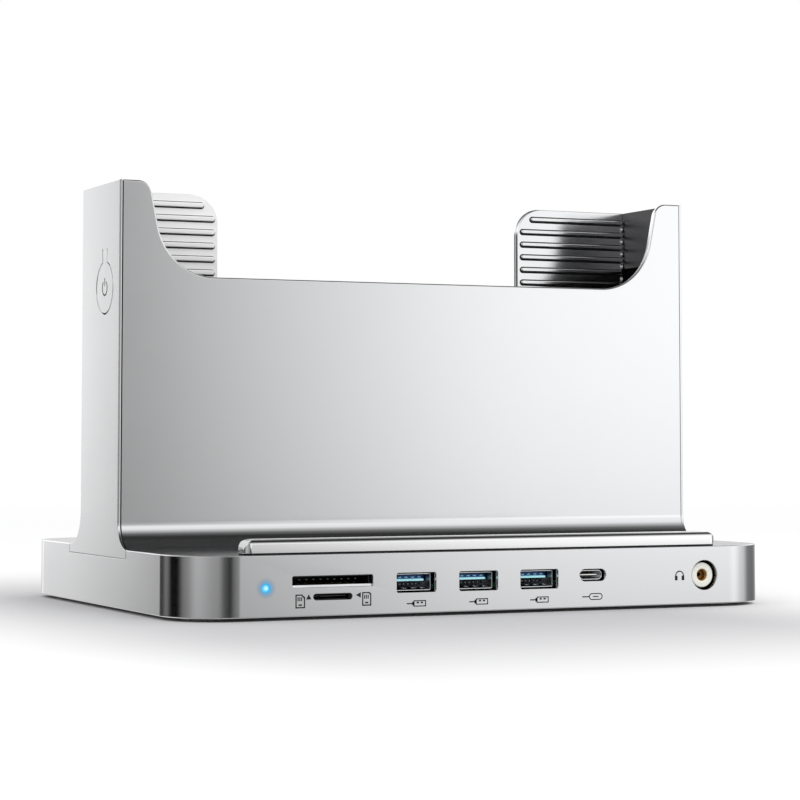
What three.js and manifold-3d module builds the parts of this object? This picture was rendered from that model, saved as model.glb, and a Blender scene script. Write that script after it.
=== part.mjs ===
// Vertical laptop docking station: a flat aluminium base that holds the board and its sockets, and an
// upright cradle, open at the top, that a closed laptop stands in on its edge.
// Millimetres, +Z up, +Y to the back. The origin is on the table, under the middle of the base.
import * as THREE from "three";
import { mergeVertices } from "three/addons/utils/BufferGeometryUtils.js";
import Module from "manifold-3d";

const wasm = await Module();
wasm.setup();

// ================================================================ driving dimensions

// Base
const BASE_WIDTH = 226;
const BASE_DEPTH = 170;
const BASE_CORNER = 20.5; // plan radius of the four corners
const BASE_CHAMFER = 0.6;
const UNDERSIDE = 1.2; // the rubber feet show this much under the base
const DECK_TOP = 21.4;
const SIDE_WALL = 2;
const DECK_WALL = 1.8;

// Upright cradle
const CRADLE_FRONT = -21.3;
const CRADLE_BACK = 20.1;
const CRADLE_TOP = 148.8;
const SHEET = 1.4; // outer aluminium sheets
const END_COVER = 1;
const LINER = 1.25; // front and back walls of the liner
const LINER_END = 1.9; // its end walls
const LEFT_END = 6.5; // from the left face to the inside of the liner: room for the switch
const RIGHT_END = 3.5;
const FRONT_BEND = 9; // where a sheet turns out on to the deck, on the side that shows
const BACK_BEND = 12;
const BACK_TOE = 1; // flat past the back bend
const BEND_BACKED = 0.46; // how high the cast foot backs a bend, as a share of its radius
const PLINTH = 3.05; // how deep the foot of the cradle is let into the base

// Cut-away top edges of the cradle's front and back
const HORN = 11; // width of the horns left at both ends of the front
const HORN_LEAN = 6.6; // how much wider a horn is at the low edge
const HORN_ROUND = 5;
const FRONT_LOW = 115.7; // height of the front's low edge
const FRONT_SWEEP = 21.3;
const TAB = 51; // width of the tabs left at both ends of the back
const TAB_ROUND = 10.5;
const BACK_LOW = 104;
const BACK_SWEEP = 11;
const LINER_INSET = 0.3; // the liner stops this far short of the sheets' edges

// Grip ribs, floor and pad inside the pocket
const RIB_HEIGHT = 1.7;
const RIB_PROUD = 1;
const RIB_PITCH = 4.93;
const RIB_DROP = 4.1; // from the cradle's top to the middle of the first rib
const RIB_INSET = 1.6; // from the edge of a tab to the end of a rib
const BACK_RIBS = 9;
const FRONT_RIBS = 4;
const FRONT_RIB_DROP = 4.6; // from the front's low edge to the middle of its first rib
const POCKET_FLOOR = 1.3;
const FLOOR_PAD = { height: 2.1, inset: 1.2, round: 2, chamfer: 0.4 };
const CAP = 1.5; // lip that closes the top of each end

// Power button in the left end cover
const BUTTON_RADIUS = 8.9;
const BUTTON_Y = -5.3;
const BUTTON_DROP = 36.9; // from the cradle's top to the middle of the button
const BUTTON_GAP = 0.45;
const ARM_WIDTH = 4.6;
const ARM_REACH = 13.6; // from the middle of the button up to the arm's root
const ARM_SLIT = 0.3;
const SLIT_END = 0.45; // radius of the relief hole at the top of a slit
const PIP = { radius: 1.2, height: 0.45 };
const PLUNGER = { radius: 1.2, length: 1.05, shows: 0.5 };
const SWITCH = { side: 6, height: 1.2, back: 0.1 };
const SWITCH_BOARD = { width: 10, height: 20, thickness: 0.6 };
const FLEX = { thickness: 0.2, width: 4, tail: 8 };
const FLEX_SLOT = { width: 2.6, depth: 5.2 };
const STANDOFF = { thickness: 1.2, clear: 0.9 }; // ribs that hold the switch's board, clear of its cable

// Stop rail along the front of the deck
const RAIL_SHORT = { left: 22.5, right: 24.5 }; // from the sides of the base to the ends of the rail
const RAIL_DEPTH = 8;
const RAIL_HEIGHT = 5;
const RAIL_SETBACK = 1.6; // from the front of the base to the rail
const RAIL_ROUND = 2.6;
const RAIL_CHAMFER = 0.9;
const RAIL_PEG = { radius: 1.5, length: 4, spread: 120 };

// Board, bottom cover, feet and screws
const BOARD = 1.6;
const BOARD_TOP = 10.5;
const BOARD_EDGE = 1.2; // from the inside of the base's walls to the board
const BOARD_CORNER = 17;
const BOTTOM_COVER = 1.5;
const CORNER_X = 16; // from the side of the base to the middle of a foot, a post and its screw
const CORNER_Y = 21;
const FOOT = { radius: 8, height: 1.75, chamfer: 0.3 };
const POST = 4.5; // radius of the corner posts
const COVER_BOSS = { radius: 5.5, height: 1.9 };
const HEAD_CHAMFER = 0.2; // on every screw's head
const COVER_SCREW = { shank: 1.5, head: 2.75, headHeight: 1.9, length: 8, drive: 1.2 };
const BOSS = 3.2; // radius of the bosses that the board hangs on
const BOARD_SCREW = { shank: 1.25, head: 2.3, headHeight: 1.5, length: 5, drive: 1 };
const BOARD_SCREW_X = 77;
const BOARD_SCREW_Y = 42;
const CRADLE_SCREW = { shank: 1.25, head: 2.3, headHeight: 1.4, length: 4, drive: 1 };
const CRADLE_SCREW_X = 72;
const CRADLE_SCREW_Y = 11;
const RECESS_WALL = 1.6; // floor of the recess that the cradle stands in
const VENT = { width: 1.8, length: 26, pitch: 5, count: 8, x: 45 };

// Clearances
const GAP = 0.15; // between pieces that fit together
const BORE_GAP = 0.15; // round a screw or a peg
const POST_GAP = 0.5; // round the posts that pass the board
const SLACK = 0.1; // between the button's pip and the switch
const SEAT = 0.05; // between pieces that rest on each other
const HEAD_SEAT = 0.075; // under a screw's head
const ROUND_END = 0.01; // flat left in the middle of a fully round end

// Sockets. size is width, height and depth outside; opening is the hole in the base's wall with its
// corner radius; lift is the height of the middle above the board's top; recess is how far the face
// stands behind the outer face of the base.
const TYPE_A = {
  size: [13.1, 5.7, 14], wall: 0.3, round: 0.5, lift: 0.8, recess: 2.8, opening: [14.45, 6.5, 0.6],
  tongue: [11.1, 1.84, 9.2], tongueLift: 1.2,
};
const TYPE_C = {
  size: [9, 3.3, 8], wall: 0.3, round: 1.6, lift: 1.72, recess: 1.7, opening: [10.3, 4.1, 2],
  tongue: [6.7, 0.7, 5.4], tongueLift: 0,
};
const VIDEO = {
  size: [15, 5.6, 12], wall: 0.35, round: 1, lift: 3.1, recess: 2.2, opening: [16, 6.6, 1.2],
  tongue: [12, 1.7, 8], tongueLift: 0.3,
};
const NETWORK = {
  size: [16, 13.4, 16], plug: [11.8, 7, 11], latch: [6, 2.2], lift: 0.6, recess: 1.2,
  opening: [16.6, 14, 0.6],
};
const LARGE_CARD = {
  size: [28, 3.6, 26], card: [24.6, 2.4, 25], lift: 1.92, recess: SIDE_WALL, opening: [28.8, 3.8, 0.5],
};
const SMALL_CARD = {
  size: [14.2, 2.3, 15], card: [11.3, 1.05, 14], drop: 1.5, recess: SIDE_WALL, opening: [13.95, 2.05, 1.02],
};
const AUDIO = {
  body: [11, 8.6, 12], ring: 4.4, mouth: 2.1, bore: 1.8, ringLength: 3.3, boreLength: 11, lift: 0.7,
  recess: 1.5, opening: 5.2,
};
const LIGHT = { radius: 1.1, lift: 0.15, chip: [3, 1.2, 1.2] };
const FRONT_SOCKETS = {
  card: -60.1, light: -83.75, firstTypeA: -29.75, pitch: 23.2, typeC: 37.5, audio: 82.5,
};
const REAR_SOCKETS = { network: 76, video: 46, typeA: [19, -1], host: -28, power: -60 };
const CHIP = { side: 12, height: 1.2, hub: [-22, 4], video: [34, 18] };
const SPREADER = { width: 92, depth: 44, thickness: 2, round: 3, x: 6, y: 11 };
const CASE_ROUND = 0.3; // corners of a socket's case
const MOUTH_ROUND = 0.2; // corners of its mouth and its tongue
const SHELL_BACK = 1; // closed back of a drawn shell

// ================================================================ places worked out from them

const HALF_WIDTH = BASE_WIDTH / 2;
const HALF_DEPTH = BASE_DEPTH / 2;
const CEILING = DECK_TOP - DECK_WALL;
const PLINTH_BOTTOM = DECK_TOP - PLINTH;
const PLINTH_FRONT = CRADLE_FRONT - FRONT_BEND;
const PLINTH_BACK = CRADLE_BACK + BACK_BEND + BACK_TOE;
const RECESS_TOP = PLINTH_BOTTOM - GAP;
const RECESS_UNDERSIDE = RECESS_TOP - RECESS_WALL;
const INSIDE_WIDTH = HALF_WIDTH - END_COVER; // to the inside of the end covers
const SHEET_END = INSIDE_WIDTH - GAP; // where the sheets stop at the end covers
const LINER_FRONT = CRADLE_FRONT + SHEET + GAP; // outer face of the liner's front wall
const LINER_BACK = CRADLE_BACK - SHEET - GAP;
const POCKET_FRONT = LINER_FRONT + LINER;
const POCKET_BACK = LINER_BACK - LINER;
const POCKET_LEFT = LEFT_END - HALF_WIDTH;
const POCKET_RIGHT = HALF_WIDTH - RIGHT_END;
const CHASSIS_TOP = DECK_TOP + GAP;
const LINER_BOTTOM = CHASSIS_TOP + GAP;
const COVER_TOP = UNDERSIDE + BOTTOM_COVER;
const BOARD_UNDERSIDE = BOARD_TOP - BOARD;
const BUTTON_Z = CRADLE_TOP - BUTTON_DROP;
const PLUNGER_TIP = PIP.height + SLACK - INSIDE_WIDTH;
const SWITCH_FACE = PLUNGER_TIP + PLUNGER.shows;
const SWITCH_BACK = SWITCH_FACE + SWITCH.height;
const BOARD_BACK = SWITCH_BACK + GAP + SWITCH_BOARD.thickness;
const FLEX_X = BOARD_BACK + GAP;
const SIDES = [[-1, "left"], [1, "right"]];
const ENDS = [[-1, "front"], [1, "rear"]];
const FRONT_FACE = -HALF_DEPTH;

// The corner names with a place at the same distance from both middle lines.
function corners(x, y) {
  return ENDS.flatMap(([sy, end]) =>
    SIDES.map(([sx, side]) => ({ x: sx * x, y: sy * y, name: `${end}_${side}` })));
}

const FEET = corners(HALF_WIDTH - CORNER_X, HALF_DEPTH - CORNER_Y);
const BOARD_SCREWS = corners(BOARD_SCREW_X, BOARD_SCREW_Y);
const CRADLE_SCREWS = corners(CRADLE_SCREW_X, CRADLE_SCREW_Y);

// ================================================================ shapes

const FULL_TURN = 360;
const QUARTER = Math.PI / 2;

// Facets in a quarter turn: enough to look round at that radius, and no more.
function quarterSteps(radius) {
  return THREE.MathUtils.clamp(Math.round(2 * Math.sqrt(radius)), 2, 10);
}

// An outline through corner points [x, y, radius], each corner rounded by its radius.
function outline(corners) {
  const points = corners.flatMap(([x, y, radius], i) => {
    const here = new THREE.Vector2(x, y);
    if (!radius) return [here];
    const before = new THREE.Vector2(...corners.at(i - 1)).sub(here).normalize();
    const after = new THREE.Vector2(...corners[(i + 1) % corners.length]).sub(here).normalize();
    const half = Math.acos(before.dot(after)) / 2;
    const middle = before.clone().add(after).normalize().multiplyScalar(radius / Math.sin(half));
    const centre = here.clone().add(middle);
    const start = here.clone().addScaledVector(before, radius / Math.tan(half)).sub(centre);
    const turn = (Math.PI - 2 * half) * Math.sign(after.cross(before));
    const steps = Math.max(2, Math.ceil((quarterSteps(radius) * Math.abs(turn)) / QUARTER));
    return Array.from({ length: steps + 1 }, (_, k) =>
      start.clone().rotateAround(new THREE.Vector2(), (turn * k) / steps).add(centre));
  });
  return new THREE.Shape(points);
}

function rectangle(x0, x1, y0, y1, radius = 0) {
  return outline([[x0, y0, radius], [x1, y0, radius], [x1, y1, radius], [x0, y1, radius]]);
}

function centred(width, height, radius = 0) {
  return rectangle(-width / 2, width / 2, -height / 2, height / 2, radius);
}

function circle(x, y, radius) {
  const steps = 4 * quarterSteps(radius);
  const angle = (k) => THREE.MathUtils.degToRad((FULL_TURN * k) / steps);
  return new THREE.Shape(Array.from({ length: steps }, (_, k) =>
    new THREE.Vector2(x + radius * Math.cos(angle(k)), y + radius * Math.sin(angle(k)))));
}

function solid(geometry) {
  geometry.deleteAttribute("normal");
  geometry.deleteAttribute("uv");
  const merged = mergeVertices(geometry, 1e-4);
  const vertProperties = new Float32Array(merged.attributes.position.array);
  const triVerts = new Uint32Array(merged.index.array);
  return new wasm.Manifold(new wasm.Mesh({ numProp: 3, vertProperties, triVerts }));
}

function extrude(shape, depth, chamfer = 0) {
  const geometry = new THREE.ExtrudeGeometry(shape, {
    depth: depth - 2 * chamfer,
    steps: 1,
    bevelEnabled: chamfer > 0,
    bevelSegments: 1,
    bevelSize: chamfer,
    bevelThickness: chamfer,
    bevelOffset: -chamfer,
  });
  return geometry.translate(0, 0, chamfer);
}

// An XY shape raised from z0 to z1.
function upright(shape, z0, z1, chamfer) {
  return solid(extrude(shape, z1 - z0, chamfer).translate(0, 0, z0));
}

// A YZ shape swept from x0 to x1.
function alongX(shape, x0, x1, chamfer) {
  return solid(extrude(shape, x1 - x0, chamfer).rotateX(QUARTER).rotateZ(QUARTER).translate(x0, 0, 0));
}

// An XZ shape swept from y0 to y1.
function alongY(shape, y0, y1, chamfer) {
  return solid(extrude(shape, y1 - y0, chamfer).rotateX(QUARTER).translate(0, y1, 0));
}

function block(x0, x1, y0, y1, z0, z1) {
  return upright(rectangle(x0, x1, y0, y1), z0, z1);
}

// A round bar, or the tool that drills a round hole, standing at (x, y).
function post(x, y, radius, z0, z1, chamfer) {
  return upright(circle(x, y, radius), z0, z1, chamfer);
}

// A plate with its middle at (x, y).
function plate(x, y, width, depth, z0, z1, round) {
  return upright(rectangle(x - width / 2, x + width / 2, y - depth / 2, y + depth / 2, round), z0, z1);
}

function join(pieces) {
  return pieces.reduce((all, piece) => all.add(piece));
}

function cut(body, tools) {
  return tools.reduce((rest, tool) => rest.subtract(tool), body);
}

// ================================================================ finishes and the list of pieces

const dock = new THREE.Group();
dock.name = "laptop_docking_station";

const finish = (color, roughness, metalness) => ({ color, roughness, metalness });
const ALUMINIUM = finish(0xb9babd, 0.38, 1);
const LINER_PLASTIC = finish(0xa9aaac, 0.5, 0.2);
const RUBBER = finish(0x2b2b2c, 0.85, 0);
const BLACK_PLASTIC = finish(0x141416, 0.5, 0);
const STEEL = finish(0xa6a8ab, 0.3, 1);
const BLUE_PLASTIC = finish(0x1d63c6, 0.45, 0);
const BOARD_GREEN = finish(0x14432c, 0.55, 0);
const IVORY = finish(0xeee9dc, 0.35, 0);
const AMBER_FILM = finish(0x8a5a1c, 0.5, 0);
const LENS = finish(0x4ab4ff, 0.2, 0);

function add(name, body, look) {
  const { vertProperties, triVerts } = body.getMesh();
  const geometry = new THREE.BufferGeometry();
  geometry.setAttribute("position", new THREE.BufferAttribute(vertProperties, 3));
  geometry.setIndex(new THREE.BufferAttribute(triVerts, 1));
  const mesh = new THREE.Mesh(geometry, new THREE.MeshStandardMaterial({ name, ...look }));
  mesh.name = name;
  dock.add(mesh);
}

// ================================================================ where the sockets are

// Each socket faces out at the front (side -1) or the back (side 1) of the base.
const sockets = [];

function place(kind, name, x, side) {
  sockets.push({ kind, name, x, side, z: BOARD_TOP + kind.lift, face: side * (HALF_DEPTH - kind.recess) });
}

["left", "middle", "right"].forEach((word, i) =>
  place(TYPE_A, `type_a_${word}`, FRONT_SOCKETS.firstTypeA + i * FRONT_SOCKETS.pitch, -1));
place(TYPE_C, "type_c_front", FRONT_SOCKETS.typeC, -1);
place(LARGE_CARD, "large_card_slot", FRONT_SOCKETS.card, -1);
place({ ...SMALL_CARD, lift: -BOARD - SMALL_CARD.drop }, "small_card_slot", FRONT_SOCKETS.card, -1);
place(NETWORK, "network_jack", REAR_SOCKETS.network, 1);
place(VIDEO, "video_socket", REAR_SOCKETS.video, 1);
REAR_SOCKETS.typeA.forEach((x, i) => place(TYPE_A, `rear_type_a_${i + 1}`, x, 1));
place(TYPE_C, "host_type_c", REAR_SOCKETS.host, 1);
place(TYPE_C, "power_type_c", REAR_SOCKETS.power, 1);

// A box or tunnel of a socket, from a depth behind its face to another, on the side it faces.
function inward({ x, z, side, face }, [width, height, round], from, to, rise = 0) {
  const shape = rectangle(x - width / 2, x + width / 2, z + rise - height / 2, z + rise + height / 2, round);
  const [a, b] = [face - side * from, face - side * to].sort((p, q) => p - q);
  return alongY(shape, a, b);
}

const OUTSIDE = 1; // how far a cutting tool runs past what it cuts
const audio = {
  x: FRONT_SOCKETS.audio, z: BOARD_TOP + AUDIO.lift, side: -1, face: AUDIO.recess - HALF_DEPTH,
};
const light = { x: FRONT_SOCKETS.light, z: BOARD_TOP + LIGHT.lift };

// ================================================================ base

// The slot that the button's flat cable passes down through.
function flexSlot(z0, z1) {
  return plate(FLEX_X + FLEX.thickness / 2, BUTTON_Y, FLEX_SLOT.width, FLEX_SLOT.depth, z0, z1);
}

const railMiddle = FRONT_FACE + RAIL_SETBACK + RAIL_DEPTH / 2;

// The same places on the left and the right for the rail's pegs and the holes they are bonded into.
function railPegs(radius, z0, z1) {
  return SIDES.map(([side]) => post((side * RAIL_PEG.spread) / 2, railMiddle, radius, z0, z1));
}

// Every hole in the shell for a screw or a peg.
function shellBores(postBottom) {
  const below = RECESS_UNDERSIDE - OUTSIDE;
  const above = RECESS_TOP + OUTSIDE;
  const coverBore = COVER_SCREW.shank + BORE_GAP;
  const boardBore = BOARD_SCREW.shank + BORE_GAP;
  const cradleBore = CRADLE_SCREW.shank + BORE_GAP;
  return [
    ...FEET.map(({ x, y }) => post(x, y, coverBore, postBottom - OUTSIDE, postBottom + COVER_SCREW.length)),
    ...BOARD_SCREWS.map(({ x, y }) => post(x, y, boardBore, BOARD_TOP, BOARD_TOP + BOARD_SCREW.length)),
    ...CRADLE_SCREWS.map(({ x, y }) => post(x, y, cradleBore, below, above)),
    ...railPegs(RAIL_PEG.radius + BORE_GAP, CEILING - OUTSIDE, DECK_TOP + OUTSIDE),
    flexSlot(below, above),
  ];
}

// The die-cast shell: deck, four walls, the recess that the cradle stands in, and the posts and bosses
// that everything inside is screwed to.
function baseShell() {
  const outside = upright(centred(BASE_WIDTH, BASE_DEPTH, BASE_CORNER), UNDERSIDE, DECK_TOP, BASE_CHAMFER);
  const insideWidth = BASE_WIDTH - 2 * SIDE_WALL;
  const insideDepth = BASE_DEPTH - 2 * SIDE_WALL;
  const inside = centred(insideWidth, insideDepth, BASE_CORNER - SIDE_WALL);
  const front = PLINTH_FRONT - GAP;
  const back = PLINTH_BACK + GAP;
  const trough = block(
    -HALF_WIDTH, HALF_WIDTH, front - RECESS_WALL, back + RECESS_WALL, RECESS_UNDERSIDE, DECK_TOP,
  );
  const hollow = cut(upright(inside, UNDERSIDE - OUTSIDE, CEILING), [trough]);
  const reach = HALF_WIDTH + OUTSIDE;
  const recess = block(-reach, reach, front, back, RECESS_TOP, DECK_TOP + OUTSIDE);
  const postBottom = COVER_TOP + COVER_BOSS.height + GAP;
  const posts = FEET.map(({ x, y }) => post(x, y, POST, postBottom, CEILING));
  const bosses = BOARD_SCREWS.map(({ x, y }) => post(x, y, BOSS, BOARD_TOP + GAP, CEILING));
  const openings = sockets.map((socket) => {
    const setBack = socket.kind.recess;
    return inward(socket, socket.kind.opening, -OUTSIDE - setBack, SIDE_WALL + OUTSIDE - setBack);
  });
  const round = (x, z, radius) =>
    alongY(circle(x, z, radius), FRONT_FACE - OUTSIDE, FRONT_FACE + SIDE_WALL + OUTSIDE);
  return cut(join([cut(outside, [hollow, recess]), ...posts, ...bosses]), [
    ...openings,
    round(audio.x, audio.z, AUDIO.opening),
    round(light.x, light.z, LIGHT.radius + GAP),
    ...shellBores(postBottom),
  ]);
}

function bottomCover() {
  const fit = SIDE_WALL + GAP;
  const shape = centred(BASE_WIDTH - 2 * fit, BASE_DEPTH - 2 * fit, BASE_CORNER - fit);
  const bossTop = COVER_TOP + COVER_BOSS.height;
  const bosses = FEET.map(({ x, y }) => post(x, y, COVER_BOSS.radius, COVER_TOP - GAP, bossTop));
  const footRecess = FOOT.height + GAP;
  const holes = FEET.flatMap(({ x, y }) => [
    post(x, y, FOOT.radius + GAP, UNDERSIDE - OUTSIDE, footRecess),
    post(x, y, COVER_SCREW.head + BORE_GAP, UNDERSIDE, footRecess + COVER_SCREW.headHeight + GAP),
    post(x, y, COVER_SCREW.shank + BORE_GAP, UNDERSIDE, bossTop + OUTSIDE),
  ]);
  const ventRound = VENT.width / 2 - ROUND_END;
  const vents = SIDES.flatMap(([side]) =>
    Array.from({ length: VENT.count }, (_, k) => {
      const x = side * VENT.x + (k - (VENT.count - 1) / 2) * VENT.pitch;
      return plate(x, 0, VENT.width, VENT.length, UNDERSIDE - OUTSIDE, COVER_TOP + OUTSIDE, ventRound);
    }));
  return cut(join([upright(shape, UNDERSIDE, COVER_TOP), ...bosses]), [...holes, ...vents]);
}

// A pan-head screw driven upwards, with a hexagonal drive: its head is under the face at seat.
function screw({ shank, head, headHeight, length, drive }, x, y, seat) {
  const middle = new THREE.Vector2(x, y);
  const hexagon = new THREE.Shape(Array.from({ length: 6 }, (_, k) =>
    new THREE.Vector2(x + drive, y).rotateAround(middle, (k * Math.PI) / 3)));
  const headBottom = seat - headHeight;
  const inHead = seat - headHeight / 2;
  const headBar = post(x, y, head, headBottom, seat, HEAD_CHAMFER);
  const shankBar = post(x, y, shank, inHead, seat + length);
  return cut(headBar.add(shankBar), [upright(hexagon, headBottom - OUTSIDE, inHead)]);
}

add("base_shell", baseShell(), ALUMINIUM);
add("bottom_cover", bottomCover(), BLACK_PLASTIC);
for (const { x, y, name } of FEET) {
  const seat = FOOT.height + GAP + COVER_SCREW.headHeight + HEAD_SEAT;
  add(`${name}_foot`, post(x, y, FOOT.radius, 0, FOOT.height, FOOT.chamfer), RUBBER);
  add(`${name}_cover_screw`, screw(COVER_SCREW, x, y, seat), STEEL);
}

// The stop rail: a bar with round ends, and two pegs that are bonded into the deck.
function frontRail() {
  const left = RAIL_SHORT.left - HALF_WIDTH;
  const right = HALF_WIDTH - RAIL_SHORT.right;
  const bottom = DECK_TOP + SEAT;
  const top = DECK_TOP + RAIL_HEIGHT;
  const waist = DECK_TOP + RAIL_HEIGHT / 2;
  const front = railMiddle - RAIL_DEPTH / 2;
  const back = railMiddle + RAIL_DEPTH / 2;
  const face = outline([[left, bottom], [right, bottom], [right, top, RAIL_ROUND], [left, top, RAIL_ROUND]]);
  const plan = rectangle(left, right, front, back, RAIL_ROUND);
  return alongY(face, front, back)
    .intersect(upright(plan, bottom, top, RAIL_CHAMFER).add(upright(plan, bottom, waist)))
    .add(join(railPegs(RAIL_PEG.radius, DECK_TOP - RAIL_PEG.length, waist)));
}

add("front_rail", frontRail(), ALUMINIUM);

// ================================================================ board and what is on it

function mainBoard() {
  const edge = SIDE_WALL + BOARD_EDGE;
  const shape = centred(BASE_WIDTH - 2 * edge, BASE_DEPTH - 2 * edge, BOARD_CORNER);
  const through = [BOARD_UNDERSIDE - OUTSIDE, BOARD_TOP + OUTSIDE];
  const notches = sockets.filter((socket) => sunk(socket)).map(({ kind, x, side, face }) => {
    const half = kind.size[0] / 2 + GAP;
    const ends = [side * HALF_DEPTH, face - side * (kind.size[2] + GAP)].sort((p, q) => p - q);
    return block(x - half, x + half, ...ends, ...through);
  });
  const audioHalf = AUDIO.body[0] / 2 + GAP;
  const audioBack = audio.face + AUDIO.ringLength + AUDIO.body[2] + GAP;
  const audioNotch = block(audio.x - audioHalf, audio.x + audioHalf, FRONT_FACE, audioBack, ...through);
  const holes = [
    ...FEET.map(({ x, y }) => post(x, y, POST + POST_GAP, ...through)),
    ...BOARD_SCREWS.map(({ x, y }) => post(x, y, BOARD_SCREW.shank + BORE_GAP, ...through)),
  ];
  return cut(upright(shape, BOARD_UNDERSIDE, BOARD_TOP), [...notches, audioNotch, ...holes]);
}

// A socket that reaches below the board's top sits in a notch; the small card slot hangs under it.
function sunk({ kind, z }) {
  return z > BOARD_TOP && z - kind.size[1] / 2 < BOARD_TOP;
}

add("main_board", mainBoard(), BOARD_GREEN);
for (const { x, y, name } of BOARD_SCREWS) {
  add(`${name}_board_screw`, screw(BOARD_SCREW, x, y, BOARD_UNDERSIDE - HEAD_SEAT), STEEL);
}

// A drawn steel shell, open at the face, and the moulded tongue inside it.
function shellOf(socket) {
  const { size: [width, height, depth], wall, round } = socket.kind;
  const mouth = [width - 2 * wall, height - 2 * wall, Math.max(round - wall, 0)];
  return cut(inward(socket, [width, height, round], 0, depth), [
    inward(socket, mouth, -OUTSIDE, depth - SHELL_BACK),
  ]);
}

function tongueOf(socket, from, to) {
  const { tongue: [width, thickness], tongueLift } = socket.kind;
  return inward(socket, [width, thickness, MOUTH_ROUND], from, to, tongueLift);
}

// A closed case with tunnels in it that start at its face.
function caseOf(socket, tunnels) {
  const [width, height, depth] = socket.kind.size;
  return cut(
    inward(socket, [width, height, CASE_ROUND], 0, depth),
    tunnels.map(([across, up, deep]) => inward(socket, [across, up, MOUTH_ROUND], -OUTSIDE, deep)),
  );
}

for (const socket of sockets) {
  const { kind, name, side } = socket;
  if (kind.plug) {
    const [across, up, deep] = kind.plug;
    const [latchAcross, latchUp] = kind.latch;
    add(name, caseOf(socket, [kind.plug, [latchAcross, up + 2 * latchUp, deep]]), STEEL);
    continue;
  }
  if (kind.card) {
    add(name, caseOf(socket, [kind.card]), STEEL);
    continue;
  }
  const depth = kind.size[2];
  const tongueBack = depth - SHELL_BACK - SEAT;
  const tongue = tongueOf(socket, tongueBack - kind.tongue[2], tongueBack);
  if (side < 0) {
    add(`${name}_shell`, shellOf(socket), STEEL);
    add(`${name}_tongue`, tongue, kind === TYPE_A ? BLUE_PLASTIC : BLACK_PLASTIC);
  } else {
    const root = tongueOf(socket, depth - 2 * SHELL_BACK, depth - SHELL_BACK / 2);
    add(name, join([shellOf(socket), tongue, root]), STEEL);
  }
}

// Headphone jack: an ivory ring in front of a black body, with one bore through both.
function audioBar(radius, from, to) {
  return alongY(circle(audio.x, audio.z, radius), audio.face + from, audio.face + to);
}

const audioMouth = audioBar(AUDIO.mouth, -OUTSIDE, AUDIO.ringLength + OUTSIDE);
add("audio_jack_ring", cut(audioBar(AUDIO.ring, 0, AUDIO.ringLength), [audioMouth]), IVORY);
const [audioWidth, audioHeight, audioDepth] = AUDIO.body;
const audioCase = inward(
  audio, [audioWidth, audioHeight, CASE_ROUND], AUDIO.ringLength + GAP, AUDIO.ringLength + audioDepth,
);
add("audio_jack_body", cut(audioCase, [audioBar(AUDIO.bore, 0, AUDIO.boreLength)]), BLACK_PLASTIC);

// Status light: a clear pipe in the front wall, lit by a chip behind it.
const pipeBack = FRONT_FACE + SIDE_WALL + BOARD_EDGE - GAP;
add("status_light_pipe", alongY(circle(light.x, light.z, LIGHT.radius), FRONT_FACE, pipeBack), LENS);
const [lightWidth, lightDepth, lightHeight] = LIGHT.chip;
const lightMiddle = pipeBack + GAP + lightDepth / 2;
add(
  "status_light_chip",
  plate(light.x, lightMiddle, lightWidth, lightDepth, BOARD_TOP + SEAT, BOARD_TOP + lightHeight),
  IVORY,
);

const chipTop = BOARD_TOP + CHIP.height;
for (const [name, [x, y]] of [["hub_chip", CHIP.hub], ["video_chip", CHIP.video]]) {
  add(name, plate(x, y, CHIP.side, CHIP.side, BOARD_TOP + SEAT, chipTop), BLACK_PLASTIC);
}
const spreaderTop = chipTop + SPREADER.thickness;
add(
  "heat_spreader",
  plate(SPREADER.x, SPREADER.y, SPREADER.width, SPREADER.depth, chipTop + SEAT, spreaderTop, SPREADER.round),
  ALUMINIUM,
);

// ================================================================ cradle

// The cast foot's side under a bend, from the deck up to as high as it backs the sheet.
function underBend(edge, out, bend) {
  const radius = bend + SHEET + GAP;
  const sweep = Math.acos(1 - BEND_BACKED);
  const steps = quarterSteps(bend);
  return Array.from({ length: steps + 1 }, (_, k) => {
    const angle = (sweep * k) / steps;
    return [edge + out * (bend - radius * Math.sin(angle)), DECK_TOP + bend - radius * Math.cos(angle)];
  });
}

// The cast foot of the cradle: it fills the recess, backs both bends and takes the screws.
function chassis() {
  const back = underBend(CRADLE_BACK, 1, BACK_BEND);
  const front = underBend(CRADLE_FRONT, -1, FRONT_BEND);
  const insideBack = LINER_BACK + GAP;
  const insideFront = LINER_FRONT - GAP;
  const shape = outline([
    [PLINTH_FRONT, PLINTH_BOTTOM], [PLINTH_BACK, PLINTH_BOTTOM], [PLINTH_BACK, back[0][1]],
    ...back, [insideBack, back.at(-1)[1]], [insideBack, CHASSIS_TOP],
    [insideFront, CHASSIS_TOP], [insideFront, front.at(-1)[1]], ...front.reverse(),
  ]);
  const through = [PLINTH_BOTTOM - OUTSIDE, CHASSIS_TOP + OUTSIDE];
  const bore = CRADLE_SCREW.shank + BORE_GAP;
  const bores = CRADLE_SCREWS.map(({ x, y }) => post(x, y, bore, ...through));
  return cut(alongX(shape, -SHEET_END, SHEET_END), [...bores, flexSlot(...through)]);
}

// The front and back outlines, seen square on: horns or tabs at both ends of a low middle.
function frontOutline(end, bottom, inset) {
  const horn = HALF_WIDTH - HORN + inset;
  const low = horn - HORN_LEAN;
  const top = CRADLE_TOP - inset;
  return outline([
    [-end, bottom], [end, bottom], [end, top], [horn, top, HORN_ROUND],
    [low, FRONT_LOW - inset, FRONT_SWEEP], [-low, FRONT_LOW - inset, FRONT_SWEEP],
    [-horn, top, HORN_ROUND], [-end, top],
  ]);
}

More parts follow.
